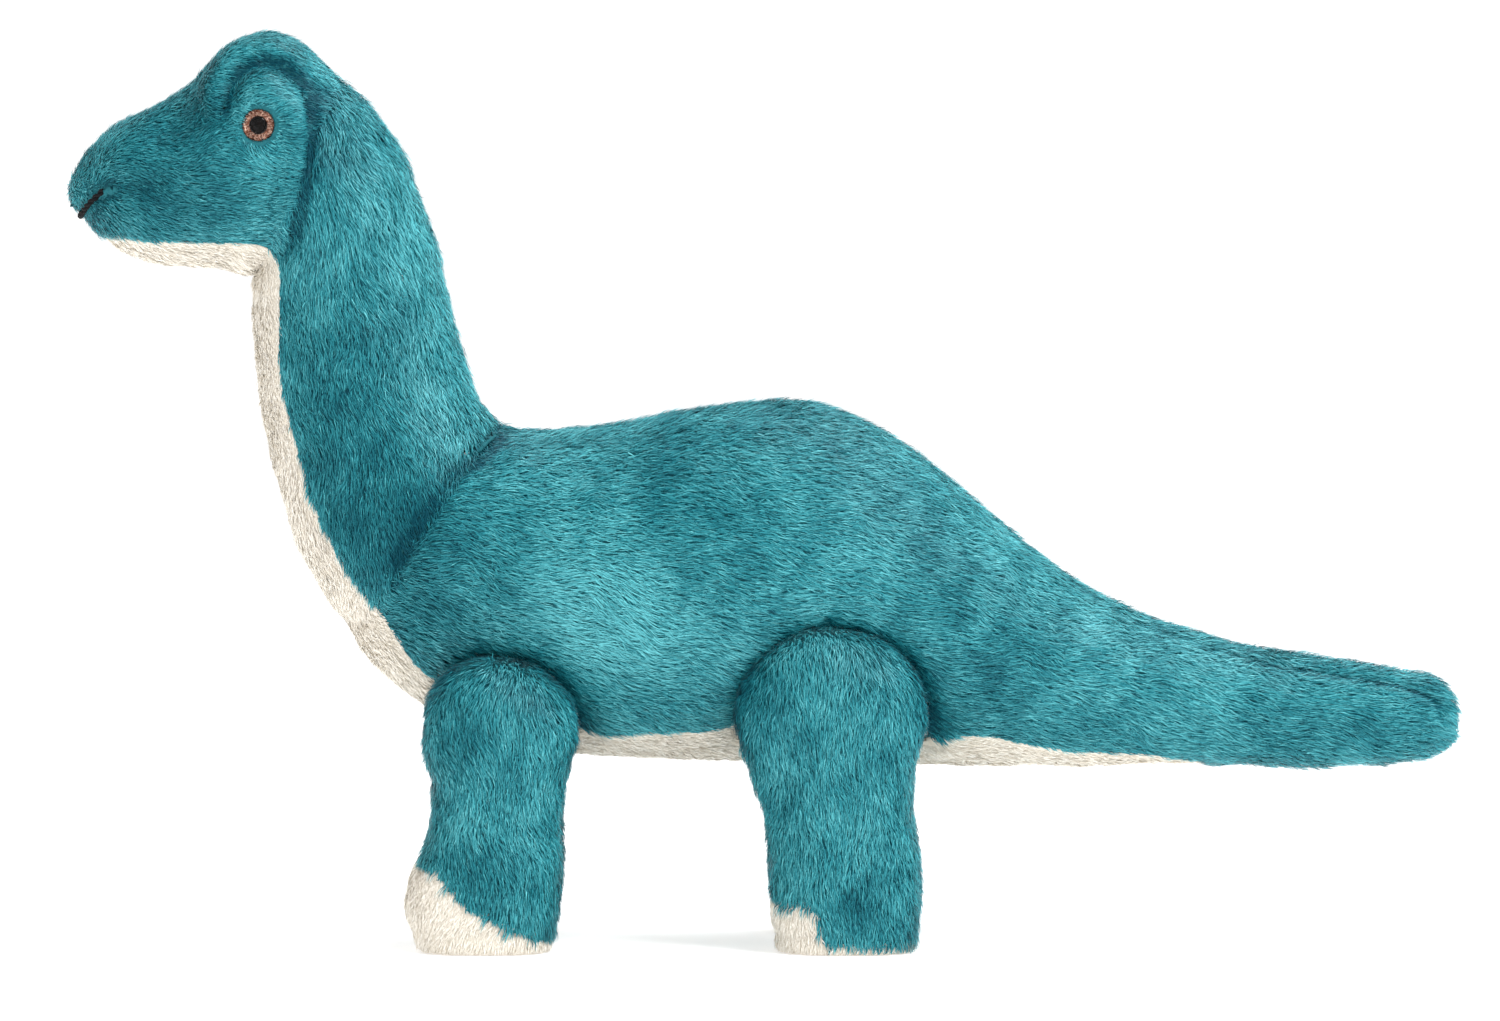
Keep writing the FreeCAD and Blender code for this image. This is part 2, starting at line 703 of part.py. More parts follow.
def make_leg(leg, side, toe):
    outside = leg_shape(leg, side, "outside")
    lining = leg_shape(leg, side, "lining")
    shell = cut(f"leg_shell_{leg}_{side}", outside, lining)
    part(f"toe_cap_{leg}_{side}", common(f"toe_{leg}_{side}", shell, toe))
    upper = cut(f"leg_upper_{leg}_{side}", shell, toe)
    split = doc.addObject("Part::Box", f"leg_split_{leg}_{side}")
    bind(
        split,
        Length="2 * Sizes.reach",
        Width="Sizes.reach",
        Height="2 * Sizes.reach",
        place_x="-Sizes.reach",
        place_y="-Sizes.leg_y" if side == "left" else "Sizes.leg_y - Sizes.reach",
        place_z="-Sizes.reach",
    )
    part(f"leg_inner_{leg}_{side}", common(f"inner_{leg}_{side}", upper, split))
    part(f"leg_outer_{leg}_{side}", cut(f"outer_{leg}_{side}", upper, split))
    part(f"leg_stuffing_{leg}_{side}", leg_shape(leg, side, "fill"))
    sole(leg, side)


# ---------------------------------------------------------------- the whole toy


def main():
    put_in_sheet()
    doc.recompute()
    sides = ("left", "right")
    hips = [(leg[0], side) for leg in LEGS for side in sides]
    fabric_pockets = [hip_cylinder(*hip, "Sizes.pocket_gap", "Sizes.hip_inside - 0.5") for hip in hips]
    fill_pockets = [hip_cylinder(*hip, "Sizes.pocket_ease", "Sizes.hip_inside - 1.5") for hip in hips]
    left, right = half_space("left_half", True), half_space("right_half", False)
    make_fillings(fill_pockets)
    make_body_fabric(fabric_pockets, left, right)
    make_head_fabric(left, right)
    for side in sides:
        make_eye(side)
    for leg, sections, hip, edge in LEGS:
        toe = toe_zone(leg, edge)
        for side in sides:
            make_leg(leg, side, toe)
    doc.recompute()
    write_parts()


def write_parts():
    faults = [f"{o.Name}: {o.State}" for o in doc.Objects if {"Invalid", "Error"} & set(o.State)]
    for label, obj in PARTS.items():
        shape = obj.Shape
        if shape.isNull() or not shape.isValid() or not shape.Solids:
            faults.append(f"{label}: null, not valid or not solid")
    if faults:
        raise SystemExit("\n".join(faults))
    os.makedirs("parts", exist_ok=True)
    for label, obj in PARTS.items():
        obj.Shape.exportStep(f"parts/{label}.step")
        print(f"{label}: {len(obj.Shape.Solids)} solid, {obj.Shape.Volume / 1000:.2f} cm3")


main()
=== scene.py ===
import math

import bmesh
import bpy
import numpy as np
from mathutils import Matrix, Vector
from mathutils.bvhtree import BVHTree


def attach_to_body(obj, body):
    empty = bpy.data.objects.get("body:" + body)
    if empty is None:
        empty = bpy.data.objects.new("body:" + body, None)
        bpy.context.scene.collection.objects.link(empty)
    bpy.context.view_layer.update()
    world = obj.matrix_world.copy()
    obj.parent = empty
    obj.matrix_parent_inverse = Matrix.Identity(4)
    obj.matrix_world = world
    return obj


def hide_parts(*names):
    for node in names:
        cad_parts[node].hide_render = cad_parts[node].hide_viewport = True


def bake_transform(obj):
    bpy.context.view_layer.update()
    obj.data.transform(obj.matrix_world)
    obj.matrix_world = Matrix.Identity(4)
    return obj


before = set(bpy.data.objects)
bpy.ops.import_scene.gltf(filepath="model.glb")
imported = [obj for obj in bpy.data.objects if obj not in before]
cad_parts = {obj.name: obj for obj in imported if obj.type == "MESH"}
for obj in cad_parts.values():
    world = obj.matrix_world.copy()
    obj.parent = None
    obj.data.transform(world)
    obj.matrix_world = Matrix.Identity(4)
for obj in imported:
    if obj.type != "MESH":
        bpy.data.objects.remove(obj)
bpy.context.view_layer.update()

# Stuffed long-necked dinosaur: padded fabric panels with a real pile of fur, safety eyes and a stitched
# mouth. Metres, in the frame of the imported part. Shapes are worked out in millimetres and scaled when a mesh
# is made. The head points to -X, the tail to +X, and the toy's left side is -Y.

MM = 0.001
scene = bpy.context.scene

# ---------------------------------------------------------------- shape of the toy

# Cross-sections from the tail's end to the nose: a point on the back (x, z), one on the belly (x, z), and
# the half width between them.
SECTIONS = [
    (239.2, 82.5, 239.2, 75.5, 3),
    (237, 87.5, 237, 70.5, 7.7),
    (232, 91.5, 232, 66.5, 11.7),
    (222, 93.8, 222, 64.3, 14),
    (200, 97, 200, 63, 16),
    (170, 102, 171, 62.5, 18.5),
    (140, 110, 142, 62.5, 22),
    (115, 121.5, 119, 62, 26.5),
    (92, 137, 97, 61.7, 33),
    (70, 155.5, 75, 61.7, 40),
    (48, 173, 51, 61.9, 46),
    (26, 184.5, 27, 62.5, 50),
    (2, 187.7, 2, 63, 52.5),
    (-25, 184.6, -26, 64, 53),
    (-52, 179.4, -58, 65.5, 51.5),
    (-73, 177.2, -90, 70, 48),
    (-84, 178, -118, 81, 43.5),
    (-91, 180.5, -143, 106.5, 39),
    (-97, 187.5, -157, 127, 34.5),
    (-101.5, 199, -166.5, 151, 31),
    (-105, 212, -172, 175, 29),
    (-108, 225, -175.5, 198, 28),
    (-111.5, 238, -176.5, 216, 27.5),
    (-118.5, 260, -176, 225.5, 28.5),
    (-130, 283, -174.5, 229.5, 30.5),
    (-146, 299.5, -173.5, 232, 32),
    (-159, 311, -180, 231.4, 33.5),
    (-173, 314.4, -188, 232.2, 34.2),
    (-185.5, 308.8, -195, 232.5, 33),
    (-196, 297.5, -202, 233, 30),
    (-207, 290.5, -210, 234, 27),
    (-217, 285.5, -218, 236.5, 24),
    (-226.5, 280, -226.5, 241.5, 19),
    (-234, 272, -233.5, 247.5, 12),
    (-238, 265, -237.6, 252.5, 6),
    (-239.2, 261.5, -239.2, 256, 2.6),
]
# Which of them are at the neck's root, half way up the neck, and behind the head.
SHOULDER, NECK_SPLIT, POLL = 17, 20, 25

# Edge of the cream underside on the side of the toy, from the tail to the chin, as points (x, z).
CREAM_EDGE = [
    (164, 61.5),
    (134, 65),
    (102, 67.4),
    (71, 72.6),
    (45, 68.5),
    (0, 73),
    (-30, 74.4),
    (-62, 73),
    (-95, 78),
    (-117, 92),
    (-132, 114),
    (-145, 132),
    (-154.5, 150),
    (-161, 171),
    (-165.6, 190),
    (-167.4, 205),
    (-167, 222),
    (-166.8, 231),
    (-168, 236),
    (-172, 239.2),
    (-179, 240.6),
    (-190, 241.5),
    (-208, 242),
    (-226, 243.5),
    (-232, 243),
]

RING_STEP, HEAD_STEP = 4.6, 3.0  # from ring to ring along the toy, and along the head
SIDE_STEPS, BELLY_STEPS = 24, 9  # round half a ring: teal side, cream underside


def hermite(knots, values, at):
    """Smooth curve through values at knots, with slopes that never overshoot badly."""
    knots, values, at = np.asarray(knots, float), np.asarray(values, float), np.asarray(at, float)
    step = np.diff(knots)
    slope = np.diff(values, axis=0) / step[:, None]
    tangent = np.empty_like(values)
    tangent[0], tangent[-1] = slope[0], slope[-1]
    a, b = step[:-1, None], step[1:, None]
    tangent[1:-1] = (slope[:-1] * b + slope[1:] * a) / (a + b)
    n = np.clip(np.searchsorted(knots, at, side="right") - 1, 0, len(step) - 1)
    t = ((at - knots[n]) / step[n])[:, None]
    h = step[n][:, None]
    t2, t3 = t * t, t * t * t
    return (
        (2 * t3 - 3 * t2 + 1) * values[n]
        + (t3 - 2 * t2 + t) * h * tangent[n]
        + (3 * t2 - 2 * t3) * values[n + 1]
        + (t3 - t2) * h * tangent[n + 1]
    )


def crossing(belly, back, edge):
    """How far up from the belly point to the back point the edge line is crossed, or 0 if it isn't."""
    best = None
    d = back - belly
    for p, q in zip(edge, edge[1:]):
        e = q - p
        cross = d[0] * e[1] - d[1] * e[0]
        if abs(cross) < 1e-9:
            continue
        w = p - belly
        t = (w[0] * e[1] - w[1] * e[0]) / cross
        u = (w[0] * d[1] - w[1] * d[0]) / cross
        if 0 <= u <= 1 and -0.02 <= t <= 0.6 and (best is None or t < best):
            best = t
    return 0.0 if best is None else max(best, 0.0)


def body_rings():
    """Rings of points from the tail's end to the nose, and the index of the ring at each section."""
    rows = np.array(SECTIONS, float)
    middle = (rows[:, 0:2] + rows[:, 2:4]) / 2
    knots = np.concatenate([[0], np.cumsum(np.linalg.norm(np.diff(middle, axis=0), axis=1) + 0.4)])
    at, ring_of = [], []
    for n in range(len(rows) - 1):
        count = max(1, round((knots[n + 1] - knots[n]) / (HEAD_STEP if n >= POLL else RING_STEP)))
        ring_of.append(len(at))
        at += list(np.linspace(knots[n], knots[n + 1], count, endpoint=False))
    ring_of.append(len(at))
    at.append(knots[-1])
    smooth = hermite(knots, rows, at)
    edge = hermite(np.arange(len(CREAM_EDGE)), CREAM_EDGE, np.linspace(0, len(CREAM_EDGE) - 1, 180))
    up = np.array([crossing(row[2:4], row[0:2], edge) for row in smooth])
    return smooth, up, ring_of


def ring_points(row, up):
    """One ring, from the middle of the back down the left side, along the belly and up the right side."""
    back, belly, half = row[0:2], row[2:4], row[4]
    middle, reach = (back + belly) / 2, (back - belly) / 2
    edge = math.acos(max(-0.995, min(0.995, 2 * up - 1)))
    side = np.linspace(0, edge, SIDE_STEPS + 1)
    under = np.linspace(edge, math.pi, BELLY_STEPS + 1)[1:]
    left = np.concatenate([side, under])
    angle = np.concatenate([left, -left[-2:0:-1]])
    x = middle[0] + reach[0] * np.cos(angle)
    z = middle[1] + reach[1] * np.cos(angle)
    y = -half * np.sin(angle)
    return np.column_stack([x, y, z])


def loft(rings):
    """A closed skin, each ring extruded from the one before it, with a fan of faces over both ends.

    Gives its points, its faces, and for each face its ring and its place round the ring.
    """
    shape = bmesh.new()
    loop = [shape.verts.new(p) for p in rings[0]]
    edges = [shape.edges.new(pair) for pair in zip(loop, loop[1:] + loop[:1])]
    ends, where = [edges], {v: (0, k) for k, v in enumerate(loop)}
    for n, ring in enumerate(rings[1:], 1):
        grown = set(bmesh.ops.extrude_edge_only(shape, edges=edges)["geom"])
        loop = [next(e.other_vert(v) for e in v.link_edges if e.other_vert(v) in grown) for v in loop]
        edges = [shape.edges.get(pair) for pair in zip(loop, loop[1:] + loop[:1])]
        for k, (v, p) in enumerate(zip(loop, ring)):
            v.co = p
            where[v] = (n, k)
    for end in ends + [edges]:
        cap = bmesh.ops.edgeloop_fill(shape, edges=end)["faces"]
        bmesh.ops.poke(shape, faces=cap)
    bmesh.ops.recalc_face_normals(shape, faces=shape.faces)
    shape.verts.index_update()
    place = []
    for face in shape.faces:
        known = [where[v] for v in face.verts if v in where]
        first, last = min(k for _, k in known), max(k for _, k in known)
        place.append((min(min(n for n, _ in known), len(rings) - 2), last if last - first > 1 else first))
    points = np.array([v.co for v in shape.verts])
    faces = [tuple(v.index for v in face.verts) for face in shape.faces]
    shape.free()
    return points, faces, np.array(place)


def make_body_mesh():
    """The skin but for the legs, how far up each ring the cream reaches, and the ring at each section."""
    rows, up, ring_of = body_rings()
    points, faces, place = loft([ring_points(row, u) for row, u in zip(rows, up)])
    return points, faces, place, up, ring_of


# ---------------------------------------------------------------- mesh helpers


def new_mesh(name, points, faces, materials=()):
    """A smooth-shaded object from points in millimetres."""
    mesh = bpy.data.meshes.new(name)
    mesh.from_pydata((np.asarray(points) * MM).tolist(), [], [tuple(f) for f in faces])
    for m in materials:
        mesh.materials.append(m)
    mesh.validate()
    mesh.update()
    mesh.shade_smooth()
    obj = bpy.data.objects.new(name, mesh)
    scene.collection.objects.link(obj)
    return obj


def evaluated(obj):
    """The mesh with its modifiers applied: points in millimetres, faces and a group number per face."""
    graph = bpy.context.evaluated_depsgraph_get()
    graph.update()
    mesh = bpy.data.meshes.new_from_object(obj.evaluated_get(graph))
    points = np.empty(len(mesh.vertices) * 3)
    mesh.vertices.foreach_get("co", points)
    faces = [tuple(p.vertices) for p in mesh.polygons]
    group = np.empty(len(faces), int)
    mesh.polygons.foreach_get("material_index", group)
    bpy.data.meshes.remove(mesh)
    return points.reshape(-1, 3) / MM, faces, group


def discard(obj):
    mesh = obj.data
    bpy.data.objects.remove(obj)
    bpy.data.meshes.remove(mesh)


class Skin:
    """A closed skin: points (millimetres), quads or triangles, a group per face, and smooth normals."""

    def __init__(self, points, faces, group):
        self.points, self.faces, self.group = np.asarray(points, float), faces, np.asarray(group)
        corners = [(f[0], f[n], f[n + 1], i) for i, f in enumerate(faces) for n in range(1, len(f) - 1)]
        corners = np.array(corners)
        self.triangles, self.owner = corners[:, :3], corners[:, 3]
        self.update()

    def update(self):
        p = self.points[self.triangles]
        cross = np.cross(p[:, 1] - p[:, 0], p[:, 2] - p[:, 0])
        normals = np.zeros_like(self.points)
        for k in range(3):
            np.add.at(normals, self.triangles[:, k], cross)
        self.normals = unit(normals)
        self.area = np.linalg.norm(cross, axis=1) / 2

    def centres(self):
        total = np.zeros((len(self.faces), 3))
        count = np.zeros(len(self.faces))
        middle = self.points[self.triangles].mean(1)
        np.add.at(total, self.owner, middle)
        np.add.at(count, self.owner, 1)
        return total / count[:, None]


def unit(v):
    return v / np.maximum(np.linalg.norm(v, axis=-1, keepdims=True), 1e-12)


CLOTH_STEPS = 20


def inflate(points, faces, group, pinned, cap, pressure):
    """Blows a closed skin up a little with a cloth simulation, its seams held, then subdivides it.

    cap is how far a point may move, in millimetres.
    """
    obj = new_mesh("pattern", points, faces)
    for n in range(int(max(group)) + 1):
        obj.data.materials.append(bpy.data.materials.new(f"group_{n}"))
    obj.data.polygons.foreach_set("material_index", np.asarray(group, dtype=np.int32))
    held = obj.vertex_groups.new(name="held")
    held.add([int(n) for n in np.nonzero(pinned)[0]], 1.0, "ADD")
    cloth = obj.modifiers.new("cloth", "CLOTH")
    settings = cloth.settings
    settings.quality = 5
    settings.mass = 0.25
    settings.tension_stiffness = settings.compression_stiffness = 14
    settings.shear_stiffness = 8
    settings.bending_stiffness = 1.2
    settings.use_pressure = True
    settings.uniform_pressure_force = pressure
    settings.vertex_group_mass = "held"
    settings.pin_stiffness = 1.0
    settings.effector_weights.gravity = 0
    cloth.collision_settings.use_collision = False
    cloth.point_cache.frame_start, cloth.point_cache.frame_end = 1, CLOTH_STEPS
    for step in range(1, CLOTH_STEPS + 1):
        scene.frame_set(step)
    blown, _, _ = evaluated(obj)
    obj.modifiers.remove(cloth)
    scene.frame_set(1)
    move = blown - points
    far = np.linalg.norm(move, axis=1, keepdims=True)
    move *= np.minimum(1, cap / np.maximum(far, 1e-9))
    obj.data.vertices.foreach_set("co", ((points + move) * MM).ravel())
    obj.data.update()
    divide = obj.modifiers.new("divide", "SUBSURF")
    divide.levels = divide.render_levels = 1
    result = evaluated(obj)
    discard(obj)
    return Skin(*result)


WAVES = 9


def wave_noise(points, scale, seed):
    """Smooth noise between about -1 and 1, a sum of waves. scale is the size of its lumps in millimetres."""
    rng = np.random.default_rng(seed)
    total = np.zeros(len(points))
    for _ in range(WAVES):
        direction = rng.normal(size=3)
        direction *= 2 * math.pi / (scale * np.linalg.norm(direction)) * rng.uniform(0.6, 1.4)
        phase = rng.uniform(0, 2 * math.pi)
        total += np.sin(points @ direction + phase)
    return total / math.sqrt(WAVES / 2) / 1.6


def line_distance(points, line):
    """Distance from each point (x, z) to a chain of points, and how far along the chain, from 0 to 1."""
    line = np.asarray(line, float)
    length = np.concatenate([[0], np.cumsum(np.linalg.norm(np.diff(line, axis=0), axis=1))])
    best, along = np.full(len(points), 1e9), np.zeros(len(points))
    for n in range(len(line) - 1):
        a, d = line[n], line[n + 1] - line[n]
        t = np.clip(((points - a) @ d) / (d @ d), 0, 1)
        gap = np.linalg.norm(points - a - t[:, None] * d, axis=1)
        nearer = gap < best
        best = np.where(nearer, gap, best)
        along = np.where(nearer, (length[n] + t * (length[n + 1] - length[n])) / length[-1], along)
    return best, along


def extract(name, skin, wanted, material, thickness=1.6):
    """One panel of a skin as a piece, with the cloth's thickness on its inside."""
    piece = new_mesh(name, skin.points, [skin.faces[n] for n in np.nonzero(wanted)[0]], [material])
    shape = bmesh.new()
    shape.from_mesh(piece.data)
    bmesh.ops.delete(shape, geom=[v for v in shape.verts if not v.link_faces], context="VERTS")
    lining = bmesh.ops.extrude_face_region(shape, geom=shape.faces[:], use_keep_orig=True)["geom"]
    shape.normal_update()
    for v in lining:
        if isinstance(v, bmesh.types.BMVert):
            v.co -= v.normal * thickness * MM
    bmesh.ops.recalc_face_normals(shape, faces=shape.faces)
    shape.to_mesh(piece.data)
    shape.free()
    return piece


# ---------------------------------------------------------------- materials


def set_inputs(shader, **values):
    for name, value in values.items():
        shader.inputs[name.replace("_", " ")].default_value = value


def principled(name, colour, roughness, **values):
    """A Principled material with plain values: a single tone of a pile, or glossy plastic."""
    material = bpy.data.materials.new(name)
    material.use_nodes = True
    shader = material.node_tree.nodes["Principled BSDF"]
    shader.inputs["Base Color"].default_value = (*colour, 1)
    shader.inputs["Roughness"].default_value = roughness
    set_inputs(shader, **values)
    return material, shader


def fabric(name, dark, light, scale, bump, roughness=0.85):
    """Knitted backing: cloudy colour, a fine knit in the bump and roughness that changes with it."""
    material, shader = principled(name, light, roughness, Specular_IOR_Level=0.2)
    tree = material.node_tree
    nodes, link = tree.nodes, tree.links.new
    where = nodes.new("ShaderNodeTexCoord")
    cloud = nodes.new("ShaderNodeTexNoise")
    set_inputs(cloud, Scale=scale, Detail=5.0, Roughness=0.6)
    link(where.outputs["Object"], cloud.inputs["Vector"])
    ramp = nodes.new("ShaderNodeValToRGB")
    ramp.color_ramp.elements[0].position, ramp.color_ramp.elements[0].color = 0.3, (*dark, 1)
    ramp.color_ramp.elements[1].position, ramp.color_ramp.elements[1].color = 0.7, (*light, 1)
    link(cloud.outputs["Fac"], ramp.inputs["Fac"])
    link(ramp.outputs["Color"], shader.inputs["Base Color"])
    knit = nodes.new("ShaderNodeTexVoronoi")
    set_inputs(knit, Scale=900.0)
    link(where.outputs["Object"], knit.inputs["Vector"])
    relief = nodes.new("ShaderNodeBump")
    set_inputs(relief, Strength=bump, Distance=0.0004)
    link(knit.outputs["Distance"], relief.inputs["Height"])
    link(relief.outputs["Normal"], shader.inputs["Normal"])
    rough = nodes.new("ShaderNodeMapRange")
    set_inputs(rough, To_Min=roughness - 0.1, To_Max=min(roughness + 0.1, 1.0))
    link(knit.outputs["Distance"], rough.inputs["Value"])
    link(rough.outputs["Result"], shader.inputs["Roughness"])
    return material


def tones(name, stops, count, **values):
    """A run of tones of one pile, from its shaded roots to its lit tips."""
    made = []
    for n in range(count):
        t = n / (count - 1)
        colour = hermite(np.arange(len(stops)), stops, [t * (len(stops) - 1)])[0]
        made.append(principled(f"{name}_{n}", colour, Specular_IOR_Level=0.1 + 0.4 * t, **values)[0])
    return made


TEAL_PILE = [(0.0005, 0.06, 0.088), (0.02, 0.25, 0.295), (0.115, 0.54, 0.59)]
CREAM_PILE = [(0.7, 0.64, 0.54), (0.87, 0.82, 0.73), (0.97, 0.94, 0.87)]
teal_tones = tones("teal_pile", TEAL_PILE, 7, roughness=0.48, Sheen_Weight=0.12, Sheen_Roughness=0.35,
                   Sheen_Tint=(0.6, 0.95, 1.0, 1.0))
cream_tones = tones("cream_pile", CREAM_PILE, 4, roughness=0.65)
teal_cloth = fabric("teal_backing", (0.008, 0.09, 0.11), (0.02, 0.17, 0.2), 60.0, 0.4)
cream_cloth = fabric("cream_backing", (0.6, 0.55, 0.46), (0.78, 0.73, 0.64), 60.0, 0.4)
sole_cloth = fabric("sole_suede", (0.55, 0.47, 0.37), (0.76, 0.69, 0.58), 120.0, 0.6)
fibre_fill = fabric("fibre_fill", (0.7, 0.7, 0.68), (0.85, 0.85, 0.83), 90.0, 0.8)
black_thread = fabric("black_thread", (0.002, 0.002, 0.003), (0.006, 0.006, 0.007), 400.0, 0.5, 0.8)

# ---------------------------------------------------------------- body skin

# The panels, by group number. A side of the neck and the throat are each in two lengths, one for each bend.
GROUPS = [
    "body_left", "body_right", "belly", "neck_left_low", "neck_left_high", "neck_right_low",
    "neck_right_high", "throat_low", "throat_high", "head_left", "head_right", "crown", "chin",
]
# Lower edge of the crown panel, from the nose to the back of the head, as points (x, z).
CROWN_EDGE = [
    (-243, 266), (-228.7, 277.4), (-214, 282), (-199, 283.2), (-188, 284.6), (-183, 290), (-181, 298.5),
    (-173, 304.4), (-164, 302.4), (-158.4, 294.8), (-142, 293.5),
]
# Middle (x, z) and radius of each hip; middle (x, z) of an eye and the radius of its seat.
HIPS = {"front": (-91.0, 73.0, 27.5), "rear": (23.0, 78.0, 32.8)}
EYE, EYE_SEAT = np.array([-172.6, 282.6]), 6.4

# Seams and folds pulled into the stuffing, as points (x, z), then depth and width in millimetres, how many
# tones of painted shade darken the pile in them, and how far from the middle plane they start.
FOLDS = [
    ([(-89, 180.5), (-97, 171), (-106.3, 165), (-116.6, 150.5), (-128, 132)], 3.4, 3.0, 2.6, 3),
    ([(-141, 296), (-149, 295.6), (-156.4, 292.6), (-156, 283), (-155.4, 275), (-156.8, 265), (-159.6, 255),
      (-161.5, 245), (-165, 237.5)], 3.0, 2.4, 2.8, 12),
    ([(-187.5, 284), (-185.5, 288.5), (-183.4, 296), (-179, 301.5), (-173, 304.4), (-165.6, 302.6),
      (-160, 298), (-156.6, 292.8)], 3.8, 2.2, 4.2, 8),
    ([(-221, 260.5), (-226.7, 260), (-232, 254), (-236.5, 249.5)], 2.2, 2.2, 2.4, 0),
    ([(-221, 260.5), (-214, 262), (-207, 262.5)], 1.0, 3.0, 1.2, 0),
    ([(-212, 279), (-200, 282), (-188, 284.5)], 1.2, 4.0, 1.0, 8),
    ([(-5, 96), (-8, 84), (-6.5, 70)], 1.4, 3.0, 0.8, 0),
    ([(-152, 113), (-143, 110), (-136, 112)], 1.2, 1.8, 1.0, -9),
]
# Ridges beside the folds, as points (x, z), then height and width.
RIDGES = [
    ([(-191, 287), (-188.6, 297), (-182, 306.5), (-172, 309.6), (-163, 306), (-157, 299)], 3.4, 3.8),
    ([(-162, 291), (-161.4, 283), (-160.8, 275), (-162.4, 265), (-165, 255), (-168, 244)], 1.8, 3.6),
    ([(-80, 172), (-99, 157.5), (-110.5, 145), (-122, 127)], 1.4, 6.0),
]
# Soft lumps and hollows of the head: middle (x, z), radius, height, distance from the middle plane.
LUMPS = [
    (-172, 293.5, 7.5, 4.2, 6),
    (-164.5, 285, 6, 1.8, 6),
    (-192, 262, 20, 1.6, 6),
    (-222.5, 260.5, 5.0, -1.6, 6),
    (-218, 271, 12, 1.2, 6),
    (-198, 286, 8, -1.2, 6),
    (-177, 231, 6, 2.4, -9),
]
# Painted light and shade, where the pile is lit lighter or lies in shade: middle (x, z), radius, tones.
PAINTED_LIGHT_PATCHES = [
    (-200, 262, 24, -1.0), (-222, 256, 10, -0.8), (-178, 309, 12, 1.1), (-150, 303, 12, 0.9),
    (-172, 293, 6, -0.7), (-124, 262, 14, 1.4), (-112, 238, 12, 1.9), (-106, 216, 10, 1.8),
    (-98, 192, 12, 1.2), (-155, 262, 10, -0.5), (-150, 195, 20, -0.8), (-142, 165, 20, -0.9),
    (-127, 146, 14, -1.4), (-114, 112, 20, -1.1), (-77, 160, 16, 0.9), (-56, 119, 30, 2.1),
    (-28, 160, 14, -0.8), (-15, 148, 10, -0.6), (40, 164, 16, -0.5), (30, 133, 24, 0.5),
    (74, 143, 12, 0.9), (60, 126, 20, -0.8), (190, 82, 40, -0.5), (6, 178, 10, -0.5),
    (82, 102, 14, -0.8), (116, 112, 14, 0.8), (150, 88, 12, 0.7), (-91, 84, 15, -0.5),
    (-98, 54, 11, 0.6), (-94, 28, 9, -1.2), (-1, 88, 11, -1.2), (25, 62, 16, -0.2),
    (30, 18, 9, -1.4), (-80, 100, 10, -0.6), (25, 92, 20, -0.5),
]
# The seam along the top of the tail wanders this far to the left of the middle plane, from TAIL_SEAM_X on.
TAIL_SEAM_Y, TAIL_SEAM_X = 9.5, 60


def group_faces(points, faces, place, up, ring_of):
    """A panel for each face of the body skin."""
    centre = np.array([points[list(f)].mean(0) for f in faces])
    ring, k = place[:, 0], place[:, 1]
    left = k < SIDE_STEPS + BELLY_STEPS
    under = (k >= SIDE_STEPS) & (k < SIDE_STEPS + 2 * BELLY_STEPS)
    cream = under & (np.minimum(up[ring], up[ring + 1]) > 0.004)
    shoulder, split, poll = ring_of[SHOULDER], ring_of[NECK_SPLIT], ring_of[POLL]
    stage = np.digitize(ring, [shoulder, split, poll])
    side = np.choose(stage, [0, 3, 4, 9]) + np.where(left, 0, np.choose(stage, [1, 2, 2, 1]))
    line = np.array(CROWN_EDGE)
    high = centre[:, 2] > np.interp(centre[:, 0], line[:, 0], line[:, 1])
    side = np.where((stage == 3) & high & ~under, 11, side)
    return np.where(cream, np.choose(stage, [2, 7, 8, 12]), side)


def seam_points(points, faces, group):
    """Points where two panels meet."""
    first, meets = np.full(len(points), -1), np.zeros(len(points), bool)
    for face, g in zip(faces, group):
        for v in face:
            if first[v] < 0:
                first[v] = g
            elif first[v] != g:
                meets[v] = True
    return meets


def fold_shape(points):
    """How deep the folds are at each point, and how much painted shade darkens the pile in them."""
    flat, out = points[:, [0, 2]], np.abs(points[:, 1])
    depth, painted_shade = np.zeros(len(points)), np.zeros(len(points))
    for line, deep, width, dark, start in FOLDS:
        gap, along = line_distance(flat, line)
        ends = np.minimum(1, np.minimum(along, 1 - along) / 0.12 + 0.3)
        ends *= np.clip((out - start) / 6 + 0.15, 0, 1)
        depth += deep * ends * np.exp(-((gap / width) ** 2))
        painted_shade = np.maximum(painted_shade, dark * ends * np.exp(-((gap / (width + 1.0)) ** 2)))
    tail = np.clip((points[:, 0] - 70) / 25, 0, 1) * (points[:, 2] > 78)
    gap = np.abs(points[:, 1] + TAIL_SEAM_Y * np.clip((points[:, 0] - TAIL_SEAM_X) / 60, 0, 1))
    depth += 2.0 * tail * np.exp(-((gap / 1.6) ** 2))
    # painted shade along the seam on top of the tail
    painted_shade = np.maximum(painted_shade, 5.0 * tail * np.exp(-((gap / 1.1) ** 2)))
    # painted shade in the crease round the top of each hip
    for x, z, radius in HIPS.values():
        away = np.hypot(points[:, 0] - x, points[:, 2] - z) - radius
        near = np.exp(-((np.maximum(away, 0) / 3.6) ** 2)) * np.clip((points[:, 2] - z + radius) / 12, 0, 1)
        painted_shade = np.maximum(painted_shade, 2.6 * near * (out > 18))
    return depth, painted_shade


def keep_off_stuffing(skin, names, margin=0.8):
    """Moves points of the skin out until they clear the named pieces of filling by the margin."""
    above = 5.0  # how far under a filling's surface a point is still found
    for name in names:
        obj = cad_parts[name]
        corners = [obj.matrix_world @ v.co / MM for v in obj.data.vertices]
        tree = BVHTree.FromPolygons(corners, [tuple(f.vertices) for f in obj.data.polygons])
        for n, (point, normal) in enumerate(zip(skin.points, skin.normals)):
            out = Vector(normal)
            _, _, _, depth = tree.ray_cast(Vector(point) + out * above, -out, above + margin)
            if depth is not None:
                skin.points[n] = point + normal * (above + margin - depth)


